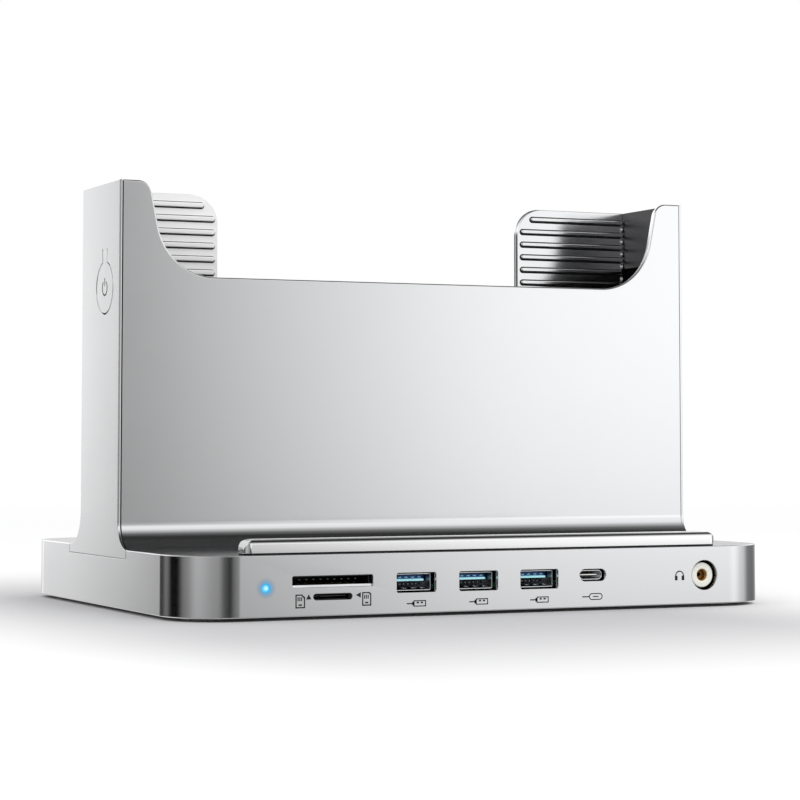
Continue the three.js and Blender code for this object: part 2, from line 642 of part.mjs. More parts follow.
function backOutline(end, bottom, inset) {
  const tab = HALF_WIDTH - TAB + inset;
  const top = CRADLE_TOP - inset;
  return outline([
    [-end, bottom], [end, bottom], [end, top], [tab, top, TAB_ROUND], [tab, BACK_LOW - inset, BACK_SWEEP],
    [-tab, BACK_LOW - inset, BACK_SWEEP], [-tab, top, TAB_ROUND], [-end, top],
  ]);
}

// A bent sheet: it stands up from a quarter bend whose toe lies level with the deck.
function bentSheet(edge, out, bend, toe, shapeXZ) {
  const inside = edge - out * SHEET;
  const tip = edge + out * (bend + toe);
  const corners = [
    [tip, DECK_TOP - SHEET], [tip, DECK_TOP], [edge, DECK_TOP, bend], [edge, CRADLE_TOP],
    [inside, CRADLE_TOP], [inside, DECK_TOP - SHEET, bend + SHEET],
  ];
  const section = outline(out < 0 ? corners.reverse() : corners);
  const [near, far] = [tip, inside].sort((p, q) => p - q);
  return alongX(section, -SHEET_END, SHEET_END).intersect(alongY(shapeXZ, near - OUTSIDE, far + OUTSIDE));
}

// The end covers: the whole side of the cradle, flush with the side of the base.
function endCover(x0, x1) {
  const shape = outline([
    [PLINTH_FRONT, PLINTH_BOTTOM], [PLINTH_BACK, PLINTH_BOTTOM], [PLINTH_BACK, DECK_TOP],
    [CRADLE_BACK, DECK_TOP, BACK_BEND], [CRADLE_BACK, CRADLE_TOP],
    [CRADLE_FRONT, CRADLE_TOP], [CRADLE_FRONT, DECK_TOP, FRONT_BEND], [PLINTH_FRONT, DECK_TOP],
  ]);
  return alongX(shape, x0, x1);
}

// A round bar, or the tool that drills a round hole, lying along X at the height of the button.
function spindle(radius, x0, x1, y = BUTTON_Y, z = BUTTON_Z) {
  return alongX(circle(y, z, radius), x0, x1);
}

// Button and arm, grown all round by a gap.
function buttonBlank(gap, slit, x0, x1) {
  const half = ARM_WIDTH / 2 + slit;
  const arm = rectangle(BUTTON_Y - half, BUTTON_Y + half, BUTTON_Z, BUTTON_Z + ARM_REACH);
  return spindle(BUTTON_RADIUS + gap, x0, x1).add(alongX(arm, x0, x1));
}

// A plate that stands across the button's axis, behind it.
function behindButton(width, height, x0, x1) {
  const y = [BUTTON_Y - width / 2, BUTTON_Y + width / 2];
  return alongX(rectangle(...y, BUTTON_Z - height / 2, BUTTON_Z + height / 2), x0, x1);
}

add("cradle_chassis", chassis(), ALUMINIUM);
for (const { x, y, name } of CRADLE_SCREWS) {
  add(`${name}_cradle_screw`, screw(CRADLE_SCREW, x, y, RECESS_UNDERSIDE - HEAD_SEAT), STEEL);
}
const frontShape = frontOutline(HALF_WIDTH, PLINTH_BOTTOM, 0);
const backShape = backOutline(HALF_WIDTH, PLINTH_BOTTOM, 0);
add("front_plate", bentSheet(CRADLE_FRONT, -1, FRONT_BEND, 0, frontShape), ALUMINIUM);
add("back_plate", bentSheet(CRADLE_BACK, 1, BACK_BEND, BACK_TOE, backShape), ALUMINIUM);
add("right_end_cover", endCover(INSIDE_WIDTH, HALF_WIDTH), ALUMINIUM);

// The left cover is cut round the button, with a relief hole at the top of each slit of its arm.
const throughCover = [-HALF_WIDTH - OUTSIDE, -INSIDE_WIDTH + OUTSIDE];
const slitEnds = SIDES.map(([side]) => {
  const y = BUTTON_Y + (side * (ARM_WIDTH + ARM_SLIT)) / 2;
  return spindle(SLIT_END, ...throughCover, y, BUTTON_Z + ARM_REACH);
});
const keyhole = buttonBlank(BUTTON_GAP, ARM_SLIT, ...throughCover);
add("left_end_cover", cut(endCover(-HALF_WIDTH, -INSIDE_WIDTH), [keyhole, ...slitEnds]), ALUMINIUM);

// Button: a disc on a springy arm, with a pip that meets the switch.
const armRoot = block(
  ...throughCover, BUTTON_Y - ARM_WIDTH, BUTTON_Y + ARM_WIDTH, BUTTON_Z + ARM_REACH - GAP, CRADLE_TOP,
);
const pip = spindle(PIP.radius, -HALF_WIDTH + END_COVER / 2, -INSIDE_WIDTH + PIP.height);
add(
  "power_button",
  cut(buttonBlank(0, 0, -HALF_WIDTH, -INSIDE_WIDTH), [armRoot, ...slitEnds]).add(pip),
  ALUMINIUM,
);

// The switch, its plunger, its little board, and the flat cable down to the main board.
add("switch_plunger", spindle(PLUNGER.radius, PLUNGER_TIP, PLUNGER_TIP + PLUNGER.length), BLACK_PLASTIC);
const plungerBore = spindle(PLUNGER.radius + BORE_GAP, SWITCH_FACE - OUTSIDE, SWITCH_BACK - SWITCH.back);
const switchCase = behindButton(SWITCH.side, SWITCH.side, SWITCH_FACE, SWITCH_BACK);
add("switch_body", cut(switchCase, [plungerBore]), STEEL);
add(
  "switch_board",
  behindButton(SWITCH_BOARD.width, SWITCH_BOARD.height, SWITCH_BACK + SEAT, BOARD_BACK),
  BOARD_GREEN,
);
const flexFoot = BOARD_TOP + GAP;
const flexShape = outline([
  [FLEX_X, flexFoot],
  [FLEX_X + FLEX.tail, flexFoot],
  [FLEX_X + FLEX.tail, flexFoot + FLEX.thickness],
  [FLEX_X + FLEX.thickness, flexFoot + FLEX.thickness],
  [FLEX_X + FLEX.thickness, BUTTON_Z],
  [FLEX_X, BUTTON_Z],
]);
const flexCable = alongY(flexShape, BUTTON_Y - FLEX.width / 2, BUTTON_Y + FLEX.width / 2);
add("button_flex_cable", flexCable, AMBER_FILM);

// ================================================================ pocket liner

// A bar with round ends, standing out from a liner wall.
function rib(x0, x1, z, wall, proud) {
  const [a, b] = [wall - Math.sign(proud) * GAP, wall + proud].sort((p, q) => p - q);
  const half = RIB_HEIGHT / 2;
  return alongY(rectangle(x0, x1, z - half, z + half, half - ROUND_END), a, b);
}

// Where the round top corner of a tab leaves room for a rib at height z.
function tabEdge(z) {
  const rise = Math.max(0, z + RIB_HEIGHT / 2 - (CRADLE_TOP - TAB_ROUND));
  return HALF_WIDTH - TAB + TAB_ROUND - Math.sqrt(Math.max(0, TAB_ROUND ** 2 - rise ** 2)) + RIB_INSET;
}

const ribLeft = POCKET_LEFT + GAP;
const ribRight = POCKET_RIGHT - GAP;
const backRibs = Array.from({ length: BACK_RIBS }, (_, k) => CRADLE_TOP - RIB_DROP - k * RIB_PITCH)
  .filter((z) => z - RIB_HEIGHT / 2 > BACK_LOW - LINER_INSET)
  .flatMap((z) => [
    rib(ribLeft, -tabEdge(z), z, POCKET_BACK, -RIB_PROUD),
    rib(tabEdge(z), ribRight, z, POCKET_BACK, -RIB_PROUD),
  ]);
const frontRibs = Array.from({ length: FRONT_RIBS }, (_, k) =>
  rib(ribLeft, ribRight, FRONT_LOW - FRONT_RIB_DROP - k * RIB_PITCH, POCKET_FRONT, RIB_PROUD));
const backLiner = alongY(backOutline(SHEET_END, LINER_BOTTOM, LINER_INSET), POCKET_BACK, LINER_BACK);
const frontLiner = alongY(frontOutline(SHEET_END, LINER_BOTTOM, LINER_INSET), LINER_FRONT, POCKET_FRONT);
add("back_liner", join([backLiner, ...backRibs]), LINER_PLASTIC);
add("front_liner", join([frontLiner, ...frontRibs]), LINER_PLASTIC);

// End walls: a lip at the top reaches out to the end cover and closes the space behind it.
function endWall(side, pocket) {
  const outer = pocket + side * LINER_END;
  const reach = side * SHEET_END;
  const top = CRADLE_TOP - LINER_INSET;
  const corners = [
    [pocket, LINER_BOTTOM], [outer, LINER_BOTTOM], [outer, top - CAP], [reach, top - CAP], [reach, top],
    [pocket, top],
  ];
  return alongY(outline(side < 0 ? corners.reverse() : corners), POCKET_FRONT + GAP, POCKET_BACK - GAP);
}

const standoffs = SIDES.map(([side]) => {
  const inner = BUTTON_Y + side * (FLEX.width / 2 + STANDOFF.clear);
  const [y0, y1] = [inner, inner + side * STANDOFF.thickness].sort((p, q) => p - q);
  const z = [BUTTON_Z - SWITCH_BOARD.height / 2, BUTTON_Z + SWITCH_BOARD.height / 2];
  return block(BOARD_BACK + GAP, POCKET_LEFT - LINER_END + GAP, y0, y1, ...z);
});
add("left_liner", join([endWall(-1, POCKET_LEFT), ...standoffs]), LINER_PLASTIC);
add("right_liner", endWall(1, POCKET_RIGHT), LINER_PLASTIC);

// The pocket's floor and the soft pad on it, each seen from above and inset from the four walls.
function pocketShape(inset, round) {
  return rectangle(
    POCKET_LEFT + inset, POCKET_RIGHT - inset, POCKET_FRONT + inset, POCKET_BACK - inset, round,
  );
}

const floorTop = LINER_BOTTOM + POCKET_FLOOR;
const padShape = pocketShape(FLOOR_PAD.inset, FLOOR_PAD.round);
add("pocket_floor", upright(pocketShape(GAP), LINER_BOTTOM, floorTop), LINER_PLASTIC);
add("floor_pad", upright(padShape, floorTop + SEAT, floorTop + FLOOR_PAD.height, FLOOR_PAD.chamfer), RUBBER);

export default dock;
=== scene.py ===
import math

import bmesh
import bpy
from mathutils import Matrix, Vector


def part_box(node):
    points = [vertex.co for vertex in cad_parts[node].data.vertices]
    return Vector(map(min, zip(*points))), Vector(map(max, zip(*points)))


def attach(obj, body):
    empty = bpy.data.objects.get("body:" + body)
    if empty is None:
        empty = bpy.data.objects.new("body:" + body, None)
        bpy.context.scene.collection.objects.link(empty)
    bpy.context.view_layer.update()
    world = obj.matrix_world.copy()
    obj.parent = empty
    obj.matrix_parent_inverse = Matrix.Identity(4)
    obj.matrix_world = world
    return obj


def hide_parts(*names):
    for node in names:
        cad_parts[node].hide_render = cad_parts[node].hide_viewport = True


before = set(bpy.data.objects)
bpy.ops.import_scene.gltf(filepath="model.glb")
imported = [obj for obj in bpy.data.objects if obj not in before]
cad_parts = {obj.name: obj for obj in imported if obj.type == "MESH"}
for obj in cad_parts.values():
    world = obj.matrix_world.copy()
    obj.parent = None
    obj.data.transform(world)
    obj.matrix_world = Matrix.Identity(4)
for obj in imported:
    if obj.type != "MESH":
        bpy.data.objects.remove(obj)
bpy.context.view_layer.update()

# ---------------------------------------------------------------------------------------------
# Table and studio. The dock stands on a seamless pale table top under soft light from above, and
# its satin metal shows what stands round it: pale screens with a few dark gaps between them.

MM = 0.001
scene = bpy.context.scene
scene.view_settings.view_transform = "Standard"


class Wire:
    """A shader socket that takes part in sums: every operator adds the Math node it stands for."""

    def __init__(self, board, socket):
        self.board = board
        self.socket = socket

    def math(self, operation, other):
        return self.board.add("ShaderNodeMath", {"operation": operation}, [self, other])

    def __add__(self, other):
        return self.math("ADD", other)

    def __sub__(self, other):
        return self.math("SUBTRACT", other)

    def __rsub__(self, other):
        return self.board.add("ShaderNodeMath", {"operation": "SUBTRACT"}, [other, self])

    def __mul__(self, other):
        return self.math("MULTIPLY", other)

    def __lt__(self, other):
        return self.math("LESS_THAN", other)

    __radd__ = __add__
    __rmul__ = __mul__


class Board:
    """The node tree of one material, or of the surroundings."""

    def __init__(self, owner):
        owner.use_nodes = True
        self.tree = owner.node_tree
        self.tree.nodes.clear()

    def add(self, kind, settings={}, inputs={}, output=0):
        """A node of any kind: its settings first, then its sockets, by name or in order."""
        node = self.tree.nodes.new(kind)
        for name, value in settings.items():
            if name == "stops":
                self.lay_stops(node.color_ramp, value)
            else:
                setattr(node, name, value)
        for name, value in (inputs.items() if isinstance(inputs, dict) else enumerate(inputs)):
            if isinstance(value, Wire):
                self.tree.links.new(value.socket, node.inputs[name])
            else:
                node.inputs[name].default_value = value
        return Wire(self, node.outputs[output]) if node.outputs else node

    def lay_stops(self, ramp, stops):
        ramp.interpolation = "EASE"
        while len(ramp.elements) < len(stops):
            ramp.elements.new(1)
        for element, (place, colour) in zip(ramp.elements, stops):
            element.position = place
            element.color = (colour, colour, colour, 1) if isinstance(colour, (int, float)) else (*colour, 1)

    def split(self, vector):
        """The three parts of a vector."""
        node = self.add("ShaderNodeSeparateXYZ", {}, [vector]).socket.node
        return [Wire(self, socket) for socket in node.outputs]

    def blend(self, share, first, second):
        """A colour between two others."""
        return self.add("ShaderNodeMix", {"data_type": "RGBA"}, {0: share, 6: first, 7: second}, output=2)


# Brightness round the horizon: degrees from straight ahead of the dock, positive to its left.
ROUND = [
    (-180, 0.75), (-140, 0.6), (-112, 0.22), (-90, 0.25), (-68, 0.9), (-45, 1.4), (-34, 1.27),
    (-27.5, 1.21), (-23.5, 0.84), (-17.5, 0.32), (-9, 0.22), (-2, 0.02), (7, 0.1), (22, 0.42), (60, 0.62),
    (84, 0.3), (102, 0.0), (116, 0.0), (132, 0.25), (148, 0.06), (156.5, 0.06), (160.3, 0.33),
    (162.8, 1.4), (170, 1.4), (180, 1.2),
]
# Brightness and share by the sine of the height: a screen above the horizon, dark above that, and a
# dim ceiling.
HEIGHT = [
    (-1, 0.3), (-0.25, 0.5), (0.1, 0.7), (0.28, 1.05), (0.46, 0.95), (0.6, 0.5), (0.74, 0.14), (0.86, 0.03),
    (1, 0.05)
]
SHARE = [(-1, 1), (-0.45, 1), (-0.15, 0), (0.1, 0), (0.28, 1), (1, 1)]
# How the screens darken towards the table.
LOW = [(-1, 0.4), (-0.12, 0.42), (-0.06, 0.74), (-0.02, 0.93), (0.05, 1.02), (1, 1.04)]
GREATEST = 1.4

world = bpy.data.worlds.new("studio")
scene.world = world
world.cycles.sampling_method = "NONE"
sky = Board(world)
direction = sky.add("ShaderNodeTexCoord", output=0)
right, back, up = sky.split(direction)
turn = sky.add("ShaderNodeMath", {"operation": "ARCTAN2"}, [right * -1, back * -1]) * (1 / math.tau) + 0.5
around = sky.add("ShaderNodeValToRGB", {"stops": [(a / 360 + 0.5, v / GREATEST) for a, v in ROUND]}, [turn])
above = sky.add(
    "ShaderNodeValToRGB", {"stops": [(s / 2 + 0.5, v / GREATEST) for s, v in HEIGHT]}, [up * 0.5 + 0.5]
)
dusk = sky.add(
    "ShaderNodeValToRGB", {"stops": [(s / 2 + 0.5, v / GREATEST) for s, v in LOW]}, [up * 0.5 + 0.5]
) * GREATEST
share = sky.add("ShaderNodeValToRGB", {"stops": [(s / 2 + 0.5, v) for s, v in SHARE]}, [up * 0.5 + 0.5])
lift = sky.add("ShaderNodeMapRange", {}, [back, 0.15, 0.6, 0.0, 0.3])
screens = sky.blend(share, around * dusk, above + lift)
is_glossy = Wire(sky, sky.add("ShaderNodeLightPath").socket.node.outputs["Is Glossy Ray"])
reflected = sky.add("ShaderNodeBackground", {}, {"Color": screens, "Strength": GREATEST})
plain = sky.add("ShaderNodeBackground", {}, {"Color": (1, 1, 1, 1), "Strength": 1.0})
seen = sky.add("ShaderNodeMixShader", {}, [is_glossy, plain, reflected])
sky.add("ShaderNodeOutputWorld", {}, [seen])

CAMERA_AT = (-384.75, -833.21, 58.36)
CAMERA_YAW = 25.0
CAMERA_PITCH = 3.78
CAMERA_LENS = 111.2
CAMERA_SHIFT = -0.153
camera = bpy.data.objects.new("camera", bpy.data.cameras.new("camera"))
scene.collection.objects.link(camera)
scene.camera = camera
camera.location = Vector(CAMERA_AT) * MM
camera.rotation_euler = (math.radians(90 + CAMERA_PITCH), 0, math.radians(-CAMERA_YAW))
camera.data.lens = CAMERA_LENS
camera.data.shift_y = CAMERA_SHIFT
camera.data.clip_start = 0.01
camera.data.clip_end = 50


def soft_light(name, place, aim, width, height, watts):
    """A large soft light that the metal doesn't mirror."""
    light = bpy.data.lights.new(name, "AREA")
    light.shape = "RECTANGLE"
    light.size = width
    light.size_y = height
    light.energy = watts
    lamp = bpy.data.objects.new(name, light)
    scene.collection.objects.link(lamp)
    lamp.location = place
    lamp.rotation_euler = (Vector(aim) - Vector(place)).to_track_quat("-Z", "Y").to_euler()
    lamp.visible_glossy = False


soft_light("key_light", (0.0, -0.85, 1.1), (0, 0, 0.05), 0.8, 0.8, 4)
TABLE_SPREAD = 6.0
TABLE_FADE = (0.35, 1.6)  # where the table starts to melt into the white, and where it has
# Painted shadow: the table's colour is darker close round the base, under the dock.
SHADE_OFFSET = (0.03, 0.05, 0)  # the table is a little darker close round the base
SHADE_HALF = (0.08, 0.08, 0)
SHADE_STRETCH = (2.4, 1, 1)
SHADE_FADE = (-0.06, 0.28)
table_mesh = bpy.data.meshes.new("table")
table_mesh.from_pydata(
    [(x * TABLE_SPREAD, y * TABLE_SPREAD, 0) for x, y in ((-1, -1), (1, -1), (1, 1), (-1, 1))], [],
    [(0, 1, 2, 3)]
)
table = bpy.data.objects.new("table", table_mesh)
scene.collection.objects.link(table)
table.visible_glossy = False
paper = bpy.data.materials.new("table_paper")
table_mesh.materials.append(paper)
board = Board(paper)
spot = board.add("ShaderNodeTexCoord", output=3)
distance = board.add("ShaderNodeVectorMath", {"operation": "LENGTH"}, [spot], output=1)
melt = board.add(
    "ShaderNodeMapRange", {"interpolation_type": "SMOOTHSTEP"}, [distance, *TABLE_FADE, 0.0, 1.0]
)
beyond = spot
for operation, *value in (
    ("ADD", SHADE_OFFSET), ("ABSOLUTE",), ("SUBTRACT", SHADE_HALF), ("MAXIMUM", (0, 0, 0)),
    ("MULTIPLY", SHADE_STRETCH),
):
    beyond = board.add("ShaderNodeVectorMath", {"operation": operation}, [beyond, *value])
beyond = board.add("ShaderNodeVectorMath", {"operation": "LENGTH"}, [beyond], output=1)
clear = board.add(
    "ShaderNodeMapRange", {"interpolation_type": "SMOOTHERSTEP"}, [beyond, *SHADE_FADE, 0.0, 1.0]
)
# The table's colour, dark near the base and pale away from it: a painted shadow.
cover = board.add(
    "ShaderNodeBsdfDiffuse", {}, [board.blend(clear, (0.55, 0.55, 0.56, 1), (0.93, 0.93, 0.935, 1))]
)
white = board.add("ShaderNodeEmission", {}, [(1, 1, 1, 1), 1.0])
board.add("ShaderNodeOutputMaterial", {}, [board.add("ShaderNodeMixShader", {}, [melt, cover, white])])

# ---------------------------------------------------------------------------------------------
# Base shell. One aluminium casting, machined, bead-blasted and anodised silver: deck, four walls
# with round corners, the recess for the cradle's foot, and a cut-out in the wall for each socket.


def span(node):
    """The lowest and highest corners of a piece of the frame, in millimetres."""
    low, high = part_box(node)
    return low / MM, high / MM


def outline(*corners):
    """A closed outline through corners (a, b) or (a, b, radius), each radius drawn as an arc."""
    points = []
    for index, (a, b, *rest) in enumerate(corners):
        here = Vector((a, b))
        if not rest or rest[0] <= 0:
            points.append(here)
            continue
        before = (Vector(corners[index - 1][:2]) - here).normalized()
        after = (Vector(corners[(index + 1) % len(corners)][:2]) - here).normalized()
        half = before.angle(after) / 2
        centre = here + (before + after).normalized() * rest[0] / math.sin(half)
        start = here + before * rest[0] / math.tan(half) - centre
        sweep = math.copysign(math.pi - 2 * half, -before.cross(after))
        steps = max(4, round(5 * math.sqrt(rest[0]) * abs(sweep) * 2 / math.pi))
        for step in range(steps + 1):
            angle = sweep * step / steps
            cos, sin = math.cos(angle), math.sin(angle)
            points.append(centre + Vector((start.x * cos - start.y * sin, start.x * sin + start.y * cos)))
    return points


def oblong(a0, a1, b0, b1, radius=0):
    return outline((a0, b0, radius), (a1, b0, radius), (a1, b1, radius), (a0, b1, radius))


def disc(a, b, radius, steps=64):
    return [
        Vector(
            (a + radius * math.cos(math.tau * k / steps), b + radius * math.sin(math.tau * k / steps))
        ) for k in range(steps)
    ]


def prism(name, points, axis, low, high):
    """A solid of one outline, from low to high along an axis; the outline lies in the other two."""
    order = {
        "X": lambda a, b, c: (c, a, b), "Y": lambda a, b, c: (a, c, b), "Z": lambda a, b, c: (a, b, c)
    }[axis]
    shape = bmesh.new()
    rings = [[shape.verts.new(Vector(order(a, b, level)) * MM) for a, b in points] for level in (low, high)]
    for ring in rings:
        shape.faces.new(ring)
    for k in range(len(points)):
        shape.faces.new((rings[0][k - 1], rings[0][k], rings[1][k], rings[1][k - 1]))
    bmesh.ops.recalc_face_normals(shape, faces=shape.faces)
    mesh = bpy.data.meshes.new(name)
    shape.to_mesh(mesh)
    shape.free()
    piece = bpy.data.objects.new(name, mesh)
    scene.collection.objects.link(piece)
    return piece


def settle(piece):
    """Turns what the modifiers make into the piece's own plain mesh."""
    graph = bpy.context.evaluated_depsgraph_get()
    mesh = bpy.data.meshes.new_from_object(piece.evaluated_get(graph))
    piece.modifiers.clear()
    piece.data = mesh
    return piece


def carve(body, *tools, operation="DIFFERENCE"):
    """Cuts tools out of a body, or keeps or joins them, and uses the tools up."""
    for tool in tools:
        step = body.modifiers.new("cut", "BOOLEAN")
        step.operation = operation
        step.solver = "EXACT"
        step.object = tool
        settle(body)
        bpy.data.objects.remove(tool)
    return body


def ease(piece, width, segments=3, angle=35):
    """Rounds the sharp edges a little, as tumbling and blasting do."""
    rounding = piece.modifiers.new("ease", "BEVEL")
    rounding.width = width * MM
    rounding.segments = segments
    rounding.limit_method = "ANGLE"
    rounding.angle_limit = math.radians(angle)
    rounding.use_clamp_overlap = False
    rounding.miter_outer = "MITER_ARC"
    settle(piece)
    return piece


def smooth(piece):
    """Smooth shading that keeps the large faces flat."""
    piece.data.shade_smooth()
    weights = piece.modifiers.new("weights", "WEIGHTED_NORMAL")
    weights.keep_sharp = True
    weights.weight = 90
    return settle(piece)


def done(piece, finish, body="dock", stands_for=()):
    """Gives a finished piece its material, its body and the nodes that it stands for."""
    smooth(piece)
    piece.data.materials.clear()
    piece.data.materials.append(finish)
    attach(piece, body)
    if stands_for:
        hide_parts(*stands_for)
    return piece


def object_space(board):
    return board.add("ShaderNodeTexCoord", output=3)


def noise(board, place, size, detail=2.0):
    """Random cloudiness with features of about that size in millimetres."""
    return board.add("ShaderNodeTexNoise", {}, {"Vector": place, "Scale": 1 / (size * MM), "Detail": detail})


def principled(board, sockets, glow=None):
    shader = board.add("ShaderNodeBsdfPrincipled", {}, sockets)
    if glow is not None:
        board.tree.links.new(glow.socket, shader.socket.node.inputs["Emission Color"])
        shader.socket.node.inputs["Emission Strength"].default_value = 1.0
    board.add("ShaderNodeOutputMaterial", {}, [shader])


def blasted(name, tint, roughness, grain_size=0.18, painted_halo_from=None):
    """Bead-blasted and anodised aluminium: even and satin, with a fine grain and faint clouding."""
    finish = bpy.data.materials.new(name)
    board = Board(finish)
    place = object_space(board)
    grain = noise(board, place, grain_size)
    cloud = noise(board, place, 38.0, 4.0)
    tone = board.blend(cloud, (*[c * 0.97 for c in tint], 1), (*[min(1, c * 1.02) for c in tint], 1))
    rough = grain * 0.06 + cloud * 0.05 + (roughness - 0.055)
    bump = board.add("ShaderNodeBump", {}, {"Strength": 0.12, "Distance": 0.00002, "Height": grain})
    glow = None
    # Painted light: the status light's blue glow on the metal round one point, given off as emission and
    # mixed into the base colour.
    if painted_halo_from:
        away = board.add("ShaderNodeVectorMath", {"operation": "DISTANCE"}, [place, painted_halo_from[0]], output=1)
        fade = board.add(
            "ShaderNodeMapRange", {"interpolation_type": "SMOOTHERSTEP"}, [away, 0.0, painted_halo_from[1], 1.0, 0.0]
        )
        glow = board.blend(fade * fade, (0, 0, 0, 1), (*painted_halo_from[2], 1))
        tone = board.blend(fade, tone, (0.05, 0.30, 0.62, 1))
    principled(board, {"Base Color": tone, "Metallic": 1.0, "Roughness": rough, "Normal": bump}, glow)
    return finish


SILVER = (0.80, 0.805, 0.815)
SKIN = 0.03  # the shell's outside stands this far in, so that printed marks end flush with the frame
BASE_CORNER = 20.5
BASE_EDGE = 0.35
WALL = 2.0
DECK = 1.8
RECESS_GAP = 0.12
lens_low, lens_high = span("status_light_pipe")
lens_middle = (lens_low + lens_high) / 2
# How far the status light's blue glow, painted into the shell's material, reaches round its hole.
PAINTED_HALO_REACH = 0.0042
silver_base = blasted(
    "silver_base", SILVER, 0.15,
    painted_halo_from=((lens_middle.x * MM, lens_low.y * MM, lens_middle.z * MM), PAINTED_HALO_REACH, (0.01, 0.34, 0.62))
)
silver = blasted("silver", SILVER, 0.15)

low, high = span("base_shell")
shell = prism(
    "base_shell_skin", oblong(low.x + SKIN, high.x - SKIN, low.y + SKIN, high.y - SKIN, BASE_CORNER), "Z",
    low.z, high.z - SKIN
)
ease(shell, BASE_EDGE, 5, 60)
inside = oblong(low.x + WALL, high.x - WALL, low.y + WALL, high.y - WALL, BASE_CORNER - WALL)
foot_low, foot_high = span("left_end_cover")
hollow = prism("hollow", inside, "Z", low.z - 1, high.z - DECK)
carve(
    hollow,
    prism(
        "keep", oblong(low.x, high.x, foot_low.y - WALL, foot_high.y + WALL), "Z", foot_low.z - DECK, high.z
    )
)
recess = prism(
    "recess", oblong(foot_low.y - RECESS_GAP, foot_high.y + RECESS_GAP, foot_low.z - RECESS_GAP, high.z + 1),
    "X", low.x - 1, high.x + 1
)


def window(node, clearance_x, clearance_z, radius):
    """The cut-out in the wall in front of a socket."""
    a, b = span(node)
    wall = (low.y - 1, low.y + WALL + 1) if a.y < 0 else (high.y - WALL - 1, high.y + 1)
    outside = oblong(a.x - clearance_x, b.x + clearance_x, a.z - clearance_z, b.z + clearance_z, radius)
    return prism("window", outside, "Y", *wall)


TYPE_A_FRONT = ["type_a_left", "type_a_middle", "type_a_right"]
TYPE_A_REAR = ["rear_type_a_1", "rear_type_a_2"]
WIDE_WINDOW = (0.68, 0.4, 0.6)  # clearance at the sides, clearance above and below, corner radius
OVAL_WINDOW = (0.65, 0.4, 2.04)
LIGHT_HOLE = 1.2
windows = [window(node, *WIDE_WINDOW) for node in [f"{name}_shell" for name in TYPE_A_FRONT] + TYPE_A_REAR]
windows += [window(node, *OVAL_WINDOW) for node in ("type_c_front_shell", "host_type_c", "power_type_c")]
windows += [window("large_card_slot", 0.4, 0.1, 0.5), window("small_card_slot", -0.12, -0.125, 1.02)]
windows += [window("network_jack", 0.3, 0.3, 0.6), window("video_socket", 0.5, 0.5, 1.2)]
ring_low, ring_high = span("audio_jack_ring")
ring_middle = (ring_low + ring_high) / 2
AUDIO_HOLE = 5.2
windows.append(
    prism("window", disc(ring_middle.x, ring_middle.z, AUDIO_HOLE, 96), "Y", low.y - 1, low.y + WALL + 1)
)
windows.append(
    prism("window", disc(lens_middle.x, lens_middle.z, LIGHT_HOLE), "Y", low.y - 1, low.y + WALL + 1)
)
carve(shell, hollow, recess, *windows)
ease(shell, 0.16, 2)
done(shell, silver_base, stands_for=["base_shell"])

# ---------------------------------------------------------------------------------------------
# Cradle sheets. Two aluminium sheets, cut to their outlines, each bent once at the foot so that it
# turns out on to the deck; blasted and anodised with the rest.

SHEET = 1.4
FRONT_BEND = 9.0
BACK_BEND = 12.0
HORN = 11.0
HORN_LEAN = 6.6
HORN_ROUND = 5.0
HORN_SWEEP = 21.3
FRONT_LOW = 115.7
TAB = 51.0
TAB_ROUND = 10.5
TAB_FILLET = 11.0
BACK_LOW = 104.0
SHEET_TUCK = 5.0  # how far the sheets' outline runs below the deck
SHEET_EDGE = 0.62
SEAM = 0.24
SEAM_DEPTH = 0.3
MARGIN = 1.0  # how far a cutting shape runs past what it cuts

deck = high.z
front_high = span("front_plate")[1]
back_low, back_high = span("back_plate")
top = front_high.z
half_base = high.x


def front_outline(low_z, end, inset=0.0):
    """The front seen square on: a horn at each end of a long low edge."""
    horn = half_base - HORN + inset
    low_x, edge, peak = horn - HORN_LEAN, FRONT_LOW - inset, top - inset
    return outline(
        (-end, low_z), (end, low_z), (end, peak), (horn, peak, HORN_ROUND), (low_x, edge, HORN_SWEEP),
        (-low_x, edge, HORN_SWEEP), (-horn, peak, HORN_ROUND), (-end, peak),
    )


def back_outline(low_z, end, inset=0.0):
    """The back seen square on: a round-cornered tab at each end of a low edge."""
    tab = half_base - TAB + inset
    edge, peak = BACK_LOW - inset, top - inset
    return outline(
        (-end, low_z), (end, low_z), (end, peak), (tab, peak, TAB_ROUND), (tab, edge, TAB_FILLET),
        (-tab, edge, TAB_FILLET), (-tab, peak, TAB_ROUND), (-end, peak),
    )


def trim(piece, x, side):
    """Saws a piece off square at x and closes the cut."""
    shape = bmesh.new()
    shape.from_mesh(piece.data)
    everything = [*shape.verts, *shape.edges, *shape.faces]
    bmesh.ops.bisect_plane(
        shape, geom=everything, plane_co=(x * MM, 0, 0), plane_no=(side, 0, 0), clear_outer=True
    )
    cut_edges = [edge for edge in shape.edges if edge.is_boundary]
    for cap in bmesh.ops.edgeloop_fill(shape, edges=cut_edges)["faces"]:
        for edge in cap.edges:
            edge.smooth = False
    bmesh.ops.recalc_face_normals(shape, faces=shape.faces)
    shape.to_mesh(piece.data)
    shape.free()
    return piece


def bent_section(face, out, bend, toe, depth=0.0):
    """The sheet's profile, set back from its own outer face by a depth."""
    inner, outer = face - out * SHEET, face - out * depth
    tip = face + out * (bend + toe)
    return outline(
        (tip, deck - SHEET), (tip, deck - depth), (outer, deck - depth, bend + depth), (outer, top - depth),
        (inner, top - depth),
        (inner, deck - SHEET, bend + SHEET),
    )


def bent_sheet(name, section, cut):
    sheet = prism(name, section, "X", -half_base - MARGIN, half_base + MARGIN)
    carve(sheet, prism("cut", cut, "Y", low.y, high.y), operation="INTERSECT")
    ease(sheet, SHEET_EDGE, 5)
    trim(sheet, SEAM - cover_inside, -1)
    return trim(sheet, cover_inside, 1)


